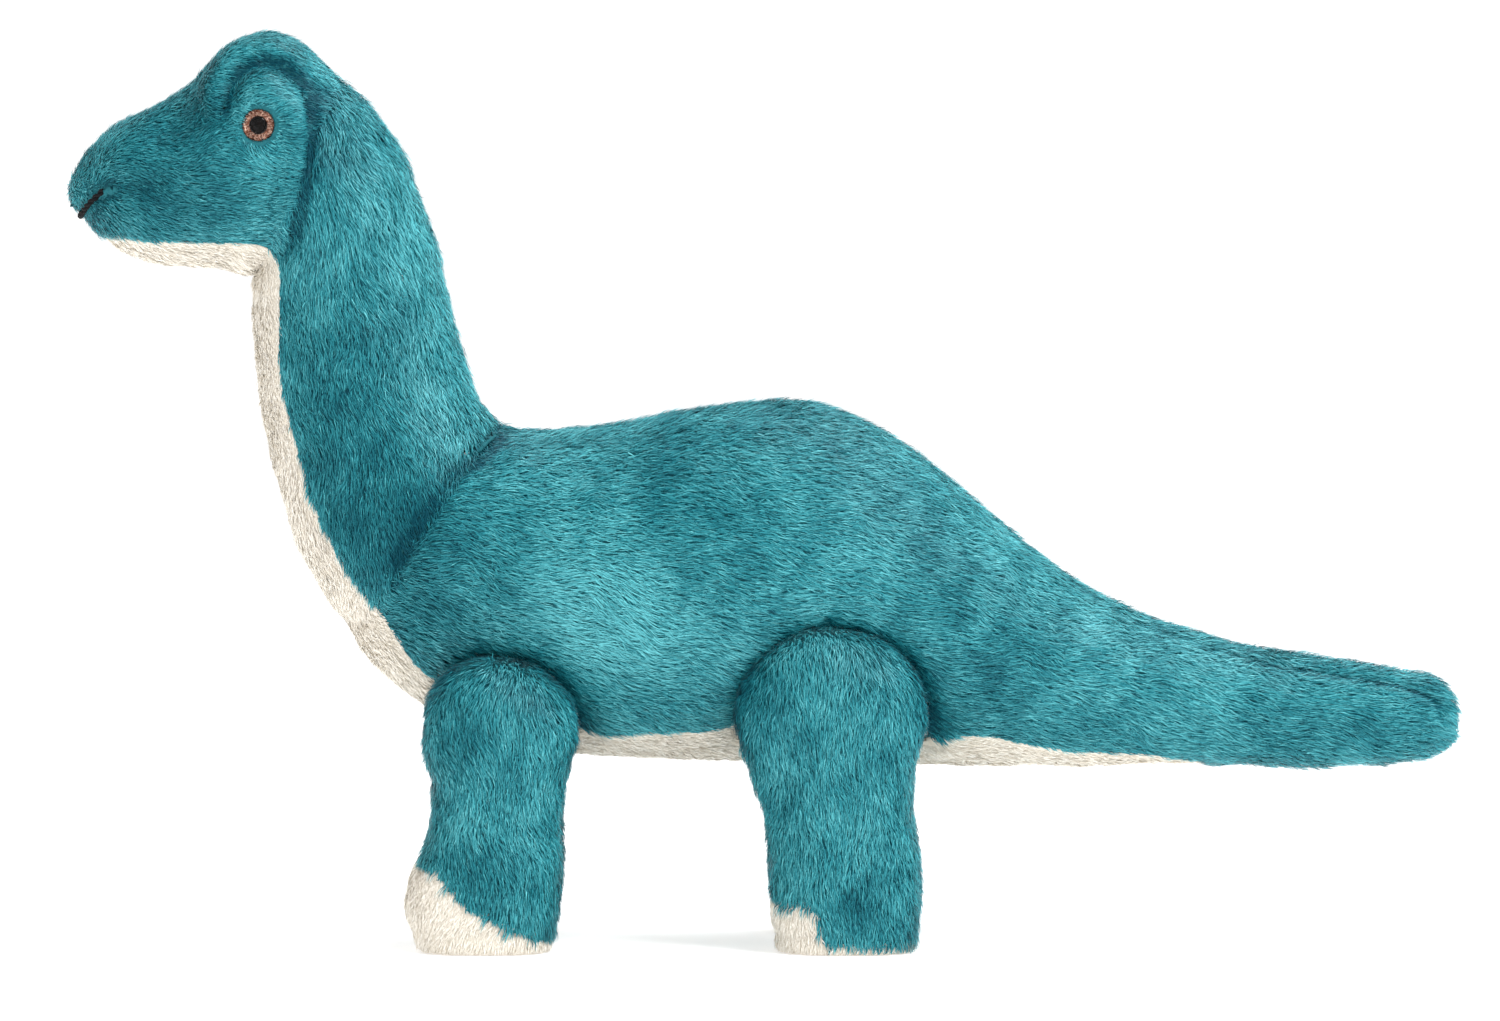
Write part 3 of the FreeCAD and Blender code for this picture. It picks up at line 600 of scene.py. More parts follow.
def seat_eyes(skin):
    """A flat seat under each lens, with the cloth rising softly round it."""
    p = skin.points
    x, z = p[:, 0] - EYE[0], p[:, 2] - EYE[1]
    away = np.hypot(x, z)
    side = np.abs(p[:, 1]) > 18
    snap = side & (np.abs(away - EYE_SEAT) < 1.3)
    scale = np.where(snap, EYE_SEAT / np.maximum(away, 1e-6), 1)
    p[:, 0], p[:, 2] = EYE[0] + x * scale, EYE[1] + z * scale
    away = away * scale
    top = np.where(away < EYE_SEAT - 0.1, 31.2, 32.3 + np.maximum(away - EYE_SEAT, 0) * 0.75)
    p[:, 1] = np.where(side & (away < 14), np.sign(p[:, 1]) * np.minimum(np.abs(p[:, 1]), top), p[:, 1])
    skin.update()


def sculpt_body(skin):
    """Folds, lumps and the seam along the back, moved along the skin's normals."""
    p = skin.points
    flat = p[:, [0, 2]]
    move = -fold_shape(p)[0]
    for line, height, width in RIDGES:
        gap, along = line_distance(flat, line)
        ends = np.minimum(1, np.minimum(along, 1 - along) / 0.15 + 0.2)
        ends *= np.clip((np.abs(p[:, 1]) - 6) / 8, 0, 1)
        move += height * ends * np.exp(-((gap / width) ** 2))
    for x, z, radius, height, start in LUMPS:
        away = np.hypot(flat[:, 0] - x, flat[:, 1] - z)
        move += height * np.exp(-((away / radius) ** 2)) * np.clip((np.abs(p[:, 1]) - start) / 6, 0, 1)
    for x, z, radius in HIPS.values():
        away = np.hypot(p[:, 0] - x, p[:, 2] - z) - radius
        sink = np.exp(-((np.maximum(away, 0) / 6) ** 2)) * np.clip((p[:, 2] - z + radius) / 12, 0, 1)
        move -= 3.2 * sink * (np.abs(p[:, 1]) > 18)
    move += 0.4 * wave_noise(p, 34, 11) + 0.2 * wave_noise(p, 15, 12)
    # The pile stands out of the cloth, so the cloth lies that much lower, but for the belly, which hangs.
    hangs = np.clip(-2 * skin.normals[:, 2] - 0.6, 0, 1) * np.clip((p[:, 0] + 105) / 20, 0, 1)
    move -= np.interp(p[:, 0], [-190, -140, 110, 150], [1.3, 2.0, 2.0, 1.3]) - 2.0 * hangs
    skin.points = p + skin.normals * move[:, None]
    skin.update()
    keep_off_stuffing(skin, ("body_stuffing", "neck_stuffing", "head_stuffing", "tail_stuffing"))
    for x, z, radius in HIPS.values():
        away = np.hypot(skin.points[:, 0] - x, skin.points[:, 2] - z)
        snap = (np.abs(away - radius - 1.2) < 1.3) & (np.abs(skin.points[:, 1]) > 20)
        scale = np.where(snap, (radius + 1.2) / np.maximum(away, 1e-6), 1)
        skin.points[:, 0] = x + (skin.points[:, 0] - x) * scale
        skin.points[:, 2] = z + (skin.points[:, 2] - z) * scale
    seat_eyes(skin)


def in_hip(points, margin):
    inside = np.zeros(len(points), bool)
    for x, z, radius in HIPS.values():
        inside |= np.hypot(points[:, 0] - x, points[:, 2] - z) < radius + margin
    return inside & (np.abs(points[:, 1]) > 20)


body_points, body_faces, body_place, cream_up, ring_of = make_body_mesh()
body_group = group_faces(body_points, body_faces, body_place, cream_up, ring_of)
seams = seam_points(body_points, body_faces, body_group)
body = inflate(body_points, body_faces, body_group, seams, cap=1.6, pressure=4.0)
sculpt_body(body)

# Where each panel bends: the two bodies it joins, and where the bend starts and ends.
TAIL_BEND = ("body", "tail", (0.060, 0, 0.106), (0.092, 0, 0.106))
NECK_BEND = ("body", "neck", (-0.117, 0, 0.1435), (-0.1399, 0, 0.1596))
HEAD_BEND = ("neck", "head", (-0.1394, 0, 0.2575), (-0.15975, 0, 0.26575))
BEND_OF = {0: TAIL_BEND, 1: TAIL_BEND, 2: TAIL_BEND}
BEND_OF.update({3: NECK_BEND, 5: NECK_BEND, 7: NECK_BEND, 4: HEAD_BEND, 6: HEAD_BEND, 8: HEAD_BEND})
NODE_OF = [
    "body_side_left", "body_side_right", "belly_panel", "neck_side_left", "neck_side_left",
    "neck_side_right", "neck_side_right", "throat_panel", "throat_panel", "head_side_left",
    "head_side_right", "crown_panel", "chin_panel",
]
CREAM_GROUPS = (2, 7, 8, 12)


def attach(piece, group):
    """A piece of a panel that has a bend stays in the frame of the part; the others move with the head."""
    if group in BEND_OF:
        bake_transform(piece)
    else:
        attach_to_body(piece, "head")


def make_body_panels():
    hole = in_hip(body.centres(), 1.2)
    for n, name in enumerate(GROUPS):
        cream = n in CREAM_GROUPS
        wanted = (body.group == n) & ~hole
        piece = extract(name + "_cloth", body, wanted, cream_cloth if cream else teal_cloth)
        attach(piece, n)
        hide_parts(NODE_OF[n])


FILLING_GAP = 1.6  # how far inside its skin a filling ends, in millimetres
NECK_MIDDLE, NECK_WAY = Vector((-0.14175, 0, 0.2115)), Vector((-0.37, 0, 0.93))


def make_filling(name, node, part=None, skin=None):
    """A filling of loose fibre, a little inside its skin. The neck's is cut into a low and a high part.

    Where a skin is given, the filling is also drawn in behind it.
    """
    shape = bmesh.new()
    shape.from_mesh(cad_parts[node].data)
    bmesh.ops.remove_doubles(shape, verts=shape.verts, dist=1e-7)
    shape.normal_update()
    for v in shape.verts:
        v.co -= v.normal * FILLING_GAP * MM
    if skin:
        tree = BVHTree.FromPolygons(skin.points.tolist(), skin.triangles.tolist())
        for v in shape.verts:
            near, normal, _, _ = tree.find_nearest(v.co / MM)
            if (v.co / MM - near).dot(normal) > -FILLING_GAP:
                v.co = (near - normal * FILLING_GAP) * MM
    if part:
        everything = shape.verts[:] + shape.edges[:] + shape.faces[:]
        cut = bmesh.ops.bisect_plane(shape, geom=everything, plane_co=NECK_MIDDLE, plane_no=NECK_WAY,
                                     clear_outer=part == "low", clear_inner=part == "high")
        edges = [e for e in cut["geom_cut"] if isinstance(e, bmesh.types.BMEdge)]
        bmesh.ops.edgeloop_fill(shape, edges=edges)
        bmesh.ops.triangulate(shape, faces=shape.faces)
    piece = new_mesh(name, [], [], [fibre_fill])
    shape.to_mesh(piece.data)
    shape.free()
    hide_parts(node)
    return piece


def make_fillings():
    """The fillings of the body and tail, and the neck's in its two parts, stay in the frame of the part; the
    head's and the legs' move with their bodies.
    """
    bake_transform(make_filling("neck_filling_low", "neck_stuffing", "low"))
    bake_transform(make_filling("neck_filling_high", "neck_stuffing", "high"))
    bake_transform(make_filling("body_filling", "body_stuffing"))
    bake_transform(make_filling("tail_filling", "tail_stuffing"))
    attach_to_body(make_filling("head_filling", "head_stuffing"), "head")
    for leg in HIPS:
        for side_name in ("left", "right"):
            filling = make_filling(f"leg_filling_{leg}_{side_name}", f"leg_stuffing_{leg}_{side_name}",
                                   skin=legs[leg, side_name])
            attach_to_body(filling, f"leg_{leg}_{side_name}")


make_body_panels()

# ---------------------------------------------------------------- legs

# A leg's cross-sections, level with the floor: height, front (x), back (x), half thickness across the toy.
LEG_ROWS = {
    "front": [
        (0, -115.5, -74.5, 18.5), (1.2, -117.2, -73.2, 20), (4, -118.8, -72.3, 20.8),
        (8, -120.8, -71.7, 21), (13, -122.6, -71.2, 21.2), (18, -122.8, -70.8, 21),
        (23, -120.8, -70.5, 20.4), (28.5, -117.8, -70.2, 19.9), (33, -116, -70.4, 19.4),
        (46, -113.2, -70.4, 18.7), (60, -112.6, -68.4, 18.7), (73, -115.2, -63.8, 18.7),
    ],
    "rear": [
        (0, 7, 49.5, 18.5), (1.2, 5.3, 51, 20), (4, 4.6, 51.6, 20.8), (8, 3.8, 52.2, 21), (15, 2.6, 53, 21),
        (23, 2.6, 52.8, 20.5), (33, 2.6, 52.4, 19.6), (46, 1.6, 50.4, 18.9), (60, -3.4, 50.6, 18.7),
        (78, -9.4, 55.4, 18.7),
    ],
}
LEG_Y = 41.0  # middle of a leg, from the middle plane
HIP_INSIDE, HIP_OUTSIDE = 22.5, 60.0  # the sides of a hip, from the middle plane
LEG_AROUND = 44  # points round a leg
LEG_STEP, HIP_STEP = 3.6, 7  # from ring to ring: up the leg, and over the hip in degrees
# Upper edge of the toe cap and of the sole's turned-up rim on the side of the foot, as points (x, z).
TOE_EDGE = {
    "front": [(-130, 32), (-117, 30), (-111.5, 28.5), (-106, 22.5), (-101, 17), (-94, 13.5), (-86.5, 9.6),
              (-79, 6.6), (-70, 4), (-60, 3)],
    "rear": [(-5, 19.4), (3, 19.2), (7.5, 17), (12.5, 18), (17, 16), (19, 9), (21, 4), (60, 3)],
}


def under_toe_edge(points, leg):
    """Whether points lie below the upper edge of the toe cap."""
    edge = np.array(TOE_EDGE[leg])
    return points[:, 2] < np.interp(points[:, 0], edge[:, 0], edge[:, 1])


def make_leg_mesh(leg, side):
    """A closed leg: points, faces and a group per face (0 inner, 1 outer, 2 toe cap, 3 sole)."""
    rows = np.array(LEG_ROWS[leg], float)
    x, z, radius = HIPS[leg]
    low = np.concatenate([[0, 0.5, 1.2, 2.4], np.arange(4, z, LEG_STEP)])
    # A ring's middle and reach along the toy, its inner and outer side, and its height.
    rings = []
    for height, row in zip(low, hermite(rows[:, 0], rows, low)):
        rings.append(((row[1] + row[2]) / 2, (row[2] - row[1]) / 2, LEG_Y - row[3], LEG_Y + row[3], height))
    for angle in np.radians(np.arange(0, 84, HIP_STEP)):
        rise = math.sin(angle)
        over = max(0.0, (rise - 0.35) / 0.65)
        outside = HIP_OUTSIDE - 0.3 - 13 * (1 - math.sqrt(max(0.0, 1 - over**2.2)))
        ease = max(0.0, 1 - angle / math.radians(30))
        front = x - radius * math.cos(angle) + (rows[-1, 1] - x + radius) * ease
        back = x + radius * math.cos(angle) + (rows[-1, 2] - x - radius) * ease
        rings.append(((front + back) / 2, (back - front) / 2, HIP_INSIDE, outside, z + radius * rise))
    loops = []
    for middle, reach, inside, outside, height in rings:
        angle = np.arange(LEG_AROUND) * 2 * math.pi / LEG_AROUND
        c, s = np.cos(angle), np.sin(angle)
        power = 0.86
        px = middle + reach * np.sign(c) * np.abs(c) ** power
        py = (inside + outside) / 2 + (outside - inside) / 2 * np.sign(s) * np.abs(s) ** power
        loops.append(np.column_stack([px, py * side, np.full(LEG_AROUND, height)]))
    points, faces, _ = loft(loops)
    centre = np.array([points[list(f)].mean(0) for f in faces])
    group = np.where(np.abs(centre[:, 1]) > LEG_Y, 1, 0)
    group = np.where(under_toe_edge(centre, leg), 2, group)
    group = np.where(centre[:, 2] < 0.9, 3, group)
    return points, faces, group


LEG_PIECES = ["leg_inner", "leg_outer", "toe_cap", "sole"]
legs = {}


def make_leg(leg, side_name):
    """A leg's skin, sculpted, and its four panels."""
    side = -1 if side_name == "left" else 1
    x, z, radius = HIPS[leg]
    points, faces, group = make_leg_mesh(leg, side)
    held = seam_points(points, faces, group) | (points[:, 2] < 2)
    held |= (np.abs(points[:, 1]) < 50) & (points[:, 2] > z - 0.5 * radius)
    skin = inflate(points, faces, group, held, cap=1.8, pressure=4.0)
    p = skin.points
    above = np.clip((p[:, 2] - 3) / 10, 0, 1)
    move = above * (0.5 * wave_noise(p, 26, 31 + side) + 0.2 * wave_noise(p, 12, 33))
    gap = np.abs(np.abs(p[:, 1]) - LEG_Y)
    below = np.clip((z - 20 - p[:, 2]) / 10, 0, 1)
    move -= 0.9 * np.exp(-((gap / 1.8) ** 2)) * above * below
    cap = under_toe_edge(p, leg)
    move -= cap * (p[:, 2] > 1.5) * 0.9 * np.exp(-(((p[:, 2] - 7.5) / 1.8) ** 2))
    move -= 1.4 * np.exp(-(((p[:, 2] - z + 4) / 12) ** 2)) * np.clip((x - 10 - p[:, 0]) / 12, 0, 1)
    skin.points = p + skin.normals * move[:, None]
    skin.points[:, 2] = np.maximum(skin.points[:, 2], 0)
    skin.update()
    keep_off_stuffing(skin, [f"leg_stuffing_{leg}_{side_name}"], margin=0)
    skin.points[:, 2] = np.maximum(skin.points[:, 2], 0)
    skin.update()
    legs[leg, side_name] = skin
    for n, name in enumerate(LEG_PIECES):
        cloth = [teal_cloth, teal_cloth, cream_cloth, sole_cloth][n]
        piece = extract(f"{name}_{leg}_{side_name}_cloth", skin, skin.group == n, cloth, 1.2)
        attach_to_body(piece, f"leg_{leg}_{side_name}")
        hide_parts(f"{name}_{leg}_{side_name}")


for leg in HIPS:
    for side_name in ("left", "right"):
        make_leg(leg, side_name)
make_fillings()

# ---------------------------------------------------------------- fur

MOUTH = [(-226.7, 260.0), (-231.5, 255.5), (-235.9, 250.2)]  # the stitch on the snout, as points (x, z)
BLADE_WIDTH = 0.4
BLADES_IN_PIECE = 64000  # at three triangles each, under a piece's limit
FUR_SHARE = 1.0


def nap_of_body(points, group):
    """The way the pile lies: back along the head, down the neck, back along the body and tail."""
    neck = np.isin(group, (3, 4, 5, 6, 7, 8))
    head = np.isin(group, (9, 10, 11, 12))
    way = np.tile([1.0, 0.0, -0.22], (len(points), 1))
    way[neck] = [0.28, 0.0, -1.0]
    way[head] = [1.0, 0.0, -0.12]
    way[(group == 12) & (points[:, 0] > -184)] = [0.5, 0.0, -1.0]
    return way


def nap_of_leg(points, group):
    """The pile lies down the leg, and a little forward on the toe cap."""
    way = np.tile([0.1, 0.0, -1.0], (len(points), 1))
    way[group == 2] = [-0.25, 0.0, -1.0]
    return way


def painted_hip_shade(points, group):
    """How many tones darker the pile is made round the top of a hip."""
    # painted shade round the top of each hip, where the pile lies in the crease; none on the toe cap
    painted_shade = np.zeros(len(points))
    for x, z, radius in HIPS.values():
        away = np.hypot(points[:, 0] - x, points[:, 2] - z)
        painted_shade_rim = (away < radius + 2) & (points[:, 2] > z - 0.2 * radius)
        deep = np.clip((52 - np.abs(points[:, 1])) / 9, 0, 1)
        painted_shade = np.maximum(painted_shade, np.where(painted_shade_rim, 2.4 * deep, 0))
    return np.where(group == 2, 0, painted_shade)


def grow(name, skin, wanted, nap, shades, seed, density, length, lift, patch, belongs=None):
    """Pile as flat blades that taper to a point and lie over along the nap, lit like the skin.

    density is blades per square millimetre, length is a blade's in millimetres, lift is how steep its root
    and its tip stand, in degrees, patch is how strong its clouds of tone and its painted light and shade
    are, and belongs says which roots it keeps.
    """
    rng = np.random.default_rng(seed)
    mine = np.nonzero(wanted[skin.owner])[0]
    reach = np.cumsum(skin.area[mine])
    count = int(reach[-1] * density * FUR_SHARE)
    spot = (np.arange(count) + rng.random(count)) / count * reach[-1]
    tri = mine[np.minimum(np.searchsorted(reach, spot), len(mine) - 1)]
    corner = skin.triangles[tri]
    a, b = np.sqrt(rng.random(count)), rng.random(count)
    weights = np.column_stack([1 - a, a * (1 - b), a * b])
    root = np.einsum("nk,nkd->nd", weights, skin.points[corner])
    normal = unit(np.einsum("nk,nkd->nd", weights, skin.normals[corner]))
    group = skin.group[skin.owner[tri]]

    way = unit(nap(root, group))
    if nap is nap_of_body:
        away = root - np.array([EYE[0], 0, EYE[1]])
        away[:, 1] = 0
        reach_of_eye = np.linalg.norm(away, axis=1, keepdims=True)
        way += 1.3 * unit(away) * np.exp(-np.maximum(reach_of_eye - EYE_SEAT, 0) / 3)
        away = root - np.array([MOUTH[0][0], 0, MOUTH[0][1]])
        away[:, 1] = 0
        way += 0.9 * unit(away) * np.exp(-np.linalg.norm(away, axis=1, keepdims=True) / 8)
    for axis in range(3):
        way[:, axis] += 0.20 * wave_noise(root, 30, 40 + axis) + 0.16 * wave_noise(root, 9, 50 + axis)
    way += rng.normal(size=way.shape) * 0.17
    way = unit(way - normal * np.einsum("nd,nd->n", way, normal)[:, None])
    side = unit(np.cross(way, normal))
    roll = rng.normal(size=count)[:, None] * 0.35
    side = unit(side + normal * roll)

    long = length * (0.72 + 0.5 * rng.random(count)) * (1 + 0.1 * wave_noise(root, 12, 60))
    thick = BLADE_WIDTH * (0.75 + 0.5 * rng.random(count))
    painted_shade = painted_hip_shade(root, group)
    if nap is nap_of_body:
        painted_shade = fold_shape(root)[1]
        eye = np.hypot(root[:, 0] - EYE[0], root[:, 2] - EYE[1])
        long *= np.where(eye < EYE_SEAT - 0.1, 0, np.clip((eye - 3.8) / 5, 0.5, 1))
        mouth, _ = line_distance(root[:, [0, 2]], MOUTH)
        long *= np.clip((mouth + 0.6) / 4, 0.5, 1) * np.where(root[:, 0] < -230, 0.7, 1)
        edge, _ = line_distance(root[:, [0, 2]], CREAM_EDGE)
        long *= np.clip((edge + 3) / 6, 0.6, 1)
    else:
        edge = np.minimum(*[line_distance(root[:, [0, 2]], TOE_EDGE[leg])[0] for leg in HIPS])
        long *= np.where(group == 2, 1, np.clip((edge + 3) / 7, 0.5, 1))
    long *= 1 - 0.1 * painted_shade
    keep = long > 0.12 * length
    if belongs:
        keep &= belongs(root)
    first = np.radians(lift[0] + 9 * rng.normal(size=count))[:, None]
    last = np.radians(lift[1] + 10 * rng.normal(size=count))[:, None]
    long = long[:, None]
    start = root - normal * 0.3
    middle = start + long * 0.45 * (np.cos(first) * way + np.sin(first) * normal)
    tip = middle + long * 0.55 * (np.cos(last) * way + np.sin(last) * normal)
    half = thick[:, None] * 0.5
    blade = np.stack([start - side * half, start + side * half, middle - side * half * 0.8,
                      middle + side * half * 0.8, tip], axis=1)
    blade[:, :, 2] = np.maximum(blade[:, :, 2], 0.25)

    face = unit(np.cross(side, tip - start))
    face *= np.sign(np.einsum("nd,nd->n", face, normal))[:, None]
    soft = unit(normal * 0.62 + face * 0.38)
    shine = np.repeat(soft[:, None, :], 5, axis=1)

    top = len(shades) - 1
    # A blade's tone: random clouds of tone, patches of painted light and shade, a random step, less the
    # painted shade of folds and creases.
    clouds_and_painted_light = 0.4 * wave_noise(root, 60, 70) + 0.5 * wave_noise(root, 20, 71) + 0.3 * wave_noise(root, 7, 72)
    for x, z, radius, change in PAINTED_LIGHT_PATCHES:
        clouds_and_painted_light += change * np.exp(-(((root[:, 0] - x) ** 2 + (root[:, 2] - z) ** 2) / radius**2))
    tone = 0.56 * top + patch * clouds_and_painted_light + 0.8 * rng.normal(size=count) - painted_shade
    tip_tone = np.clip(np.rint(tone), painted_shade < 1, top).astype(np.int32)
    # Painted shade: a blade's root is one or two tones darker than its tip.
    root_tone = np.maximum(tip_tone - 1 - (rng.random(count) < 0.5), 0).astype(np.int32)
    kept = np.nonzero(keep)[0]
    kept = kept[np.argsort(root[kept, 0], kind="stable")]
    pieces = []
    for n, some in enumerate(np.array_split(kept, -(-len(kept) // BLADES_IN_PIECE))):
        tones_of = np.column_stack([root_tone[some], tip_tone[some]])
        pieces.append(blades(f"{name}_{n}", blade[some], shine[some], tones_of, shades))
    return pieces


def blades(name, blade, shine, tones_of, shades):
    """A mesh of blades of five points: a strip from the root to the middle and a point, each in its tone."""
    count = len(blade)
    mesh = bpy.data.meshes.new(name)
    mesh.vertices.add(count * 5)
    mesh.vertices.foreach_set("co", (blade * MM).astype(np.float32).ravel())
    base = (np.arange(count) * 5)[:, None]
    mesh.loops.add(count * 7)
    mesh.loops.foreach_set("vertex_index", (base + np.array([0, 1, 3, 2, 2, 3, 4])).astype(np.int32).ravel())
    mesh.polygons.add(count * 2)
    starts = (np.arange(count) * 7)[:, None] + np.array([0, 4])
    mesh.polygons.foreach_set("loop_start", starts.astype(np.int32).ravel())
    mesh.polygons.foreach_set("material_index", tones_of.ravel())
    for m in shades:
        mesh.materials.append(m)
    mesh.update(calc_edges=True)
    mesh.shade_smooth()
    mesh.normals_split_custom_set_from_vertices(shine.reshape(-1, 3).astype(np.float32))
    obj = bpy.data.objects.new(name, mesh)
    scene.collection.objects.link(obj)
    return obj


def grow_body_fur():
    """The pile of each panel. The plans give its name, faces, group and blades per square millimetre."""
    hidden = in_hip(body.centres(), -0.5)
    tail = body.centres()[:, 0] > 76
    plans = [
        ("body_fur_left", (body.group == 0) & ~tail, 0, 2.1),
        ("body_fur_right", (body.group == 1) & ~tail, 1, 2.1),
        ("tail_fur_left", (body.group == 0) & tail, 0, 2.4),
        ("tail_fur_right", (body.group == 1) & tail, 1, 2.4),
        ("belly_fur", body.group == 2, 2, 2.2),
        ("neck_fur_left_low", body.group == 3, 3, 2.6),
        ("neck_fur_left_high", body.group == 4, 4, 2.6),
        ("neck_fur_right_low", body.group == 5, 5, 2.6),
        ("neck_fur_right_high", body.group == 6, 6, 2.6),
        ("throat_fur_low", body.group == 7, 7, 3.0),
        ("throat_fur_high", body.group == 8, 8, 3.0),
        ("head_fur_left", body.group == 9, 9, 3.6),
        ("head_fur_right", body.group == 10, 10, 3.6),
        ("crown_fur", body.group == 11, 11, 3.4),
        ("chin_fur", body.group == 12, 12, 3.2),
    ]
    for n, (name, wanted, group, thick) in enumerate(plans):
        cream = group in CREAM_GROUPS
        length = 3.8 if cream else 4.8 if group in (9, 10, 11) else 6.2
        shades = cream_tones if cream else teal_tones
        pieces = grow(name, body, wanted & ~hidden, nap_of_body, shades, seed=100 + n, density=thick,
                      length=length, lift=(30, 5) if group > 8 or cream else (33, 5),
                      patch=0.3 if cream else 1.0)
        for piece in pieces:
            attach(piece, group)


def grow_leg_fur():
    """The pile of each leg and toe cap. The hips have it only where they stand out of the body."""
    tree = BVHTree.FromPolygons(body.points.tolist(), body.triangles.tolist())
    for n, ((leg, side_name), skin) in enumerate(legs.items()):
        centres = skin.centres()
        shown = np.ones(len(skin.faces), bool)
        for face, centre in enumerate(centres):
            near, way, _, _ = tree.find_nearest(Vector(centre))
            shown[face] = (Vector(centre) - near).dot(way) > -1.5
        near_edge = under_toe_edge(centres - [0, 0, 4], leg) & ~under_toe_edge(centres + [0, 0, 4], leg)
        near_edge &= skin.group < 3
        for cream in (False, True):
            wanted = shown & ((skin.group == 2) if cream else (skin.group < 2)) | near_edge
            name = f"{'toe' if cream else 'leg'}_fur_{leg}_{side_name}"
            shades = cream_tones if cream else teal_tones
            pieces = grow(name, skin, wanted, nap_of_leg, shades, seed=200 + 2 * n + cream,
                          density=3.2 if cream else 2.6, length=3.4 if cream else 5.8,
                          lift=(25, 2) if cream else (33, 6), patch=0.3 if cream else 1.0,
                          belongs=lambda root: under_toe_edge(root, leg) == cream)
            for piece in pieces:
                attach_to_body(piece, f"leg_{leg}_{side_name}")


grow_body_fur()
grow_leg_fur()

# ---------------------------------------------------------------- mouth


def make_mouth():
    """Two strands of thread twisted round each other, pulled tight round the front of the snout."""
    steps = 90
    half = [(-226.7, -18.6, 260.0), (-231.8, -15.4, 255.4), (-234.9, -8.6, 251.6)]
    keys = half + [(-235.9, 0, 250.2)] + [(x, -y, z) for x, y, z in half[::-1]]
    path = hermite(np.arange(len(keys)), keys, np.linspace(0, len(keys) - 1, steps))
    tangent = unit(np.gradient(path, axis=0))
    out = unit(path - np.array([-215, 0, 262]))
    out = unit(out - tangent * np.einsum("nd,nd->n", out, tangent)[:, None])
    other = np.cross(tangent, out)
    path = path - out * 0.9
    curve = bpy.data.curves.new("mouth_stitch", "CURVE")
    curve.dimensions = "3D"
    curve.bevel_depth, curve.bevel_resolution, curve.use_fill_caps = 0.62 * MM, 1, True
    turns = np.arange(steps)[:, None] * 0.55
    for start_turn in (0, math.pi):
        strand = path + (out * np.cos(turns + start_turn) + other * np.sin(turns + start_turn)) * 0.5
        spline = curve.splines.new("POLY")
        spline.points.add(steps - 1)
        spline.points.foreach_set("co", np.column_stack([strand * MM, np.ones(steps)]).ravel())
    thread = bpy.data.objects.new("mouth_stitch", curve)
    scene.collection.objects.link(thread)
    points, faces, _ = evaluated(thread)
    bpy.data.objects.remove(thread)
    bpy.data.curves.remove(curve)
    piece = new_mesh("mouth_stitch", points, faces, [black_thread])
    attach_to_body(piece, "head")
    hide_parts("mouth_thread")


make_mouth()

# ---------------------------------------------------------------- eyes


EYE_Y = 32.0  # the back of an eye's lens, from the middle plane
SHANK, SHANK_END, RIDGE_STEP = 2.0, -13.0, 2.6  # radius of an eye's shank, its end, and from ridge to ridge


def make_eye(side_name, material):
    """The black part of an eye, turned on the eye's axis: pupil, rim behind the glitter and ridged shank."""
    # Radius, and height above the back of the lens.
    profile = [(0, 1.32), (2.6, 1.32), (2.76, 1.2), (2.76, -0.02), (2.05, -0.02), (2.05, -0.34),
               (6.05, -0.34), (6.05, -0.6), (SHANK, -0.6)]
    for n in range(1, 5):
        ridge = -RIDGE_STEP * n
        profile += [(SHANK, ridge), (SHANK + 0.35, ridge), (SHANK, ridge - 1.3)]
    profile += [(SHANK, SHANK_END), (0, SHANK_END)]
    side = -1 if side_name == "left" else 1
    shape = bmesh.new()
    line = [shape.verts.new(Vector((EYE[0] + r, side * (EYE_Y + h), EYE[1])) * MM) for r, h in profile]
    edges = [shape.edges.new(pair) for pair in zip(line, line[1:])]
    bmesh.ops.spin(shape, geom=line + edges, cent=Vector((EYE[0], 0, EYE[1])) * MM, axis=(0, 1, 0),
                   angle=2 * math.pi, steps=48, use_merge=True)
    bmesh.ops.remove_doubles(shape, verts=shape.verts, dist=1e-6)
    bmesh.ops.recalc_face_normals(shape, faces=shape.faces)
    piece = new_mesh(f"eye_black_{side_name}", [], [], [material])
    shape.to_mesh(piece.data)
    shape.free()
    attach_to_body(piece, "head")
    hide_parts(f"eye_core_{side_name}")


# ---------------------------------------------------------------- materials of the parts that stay


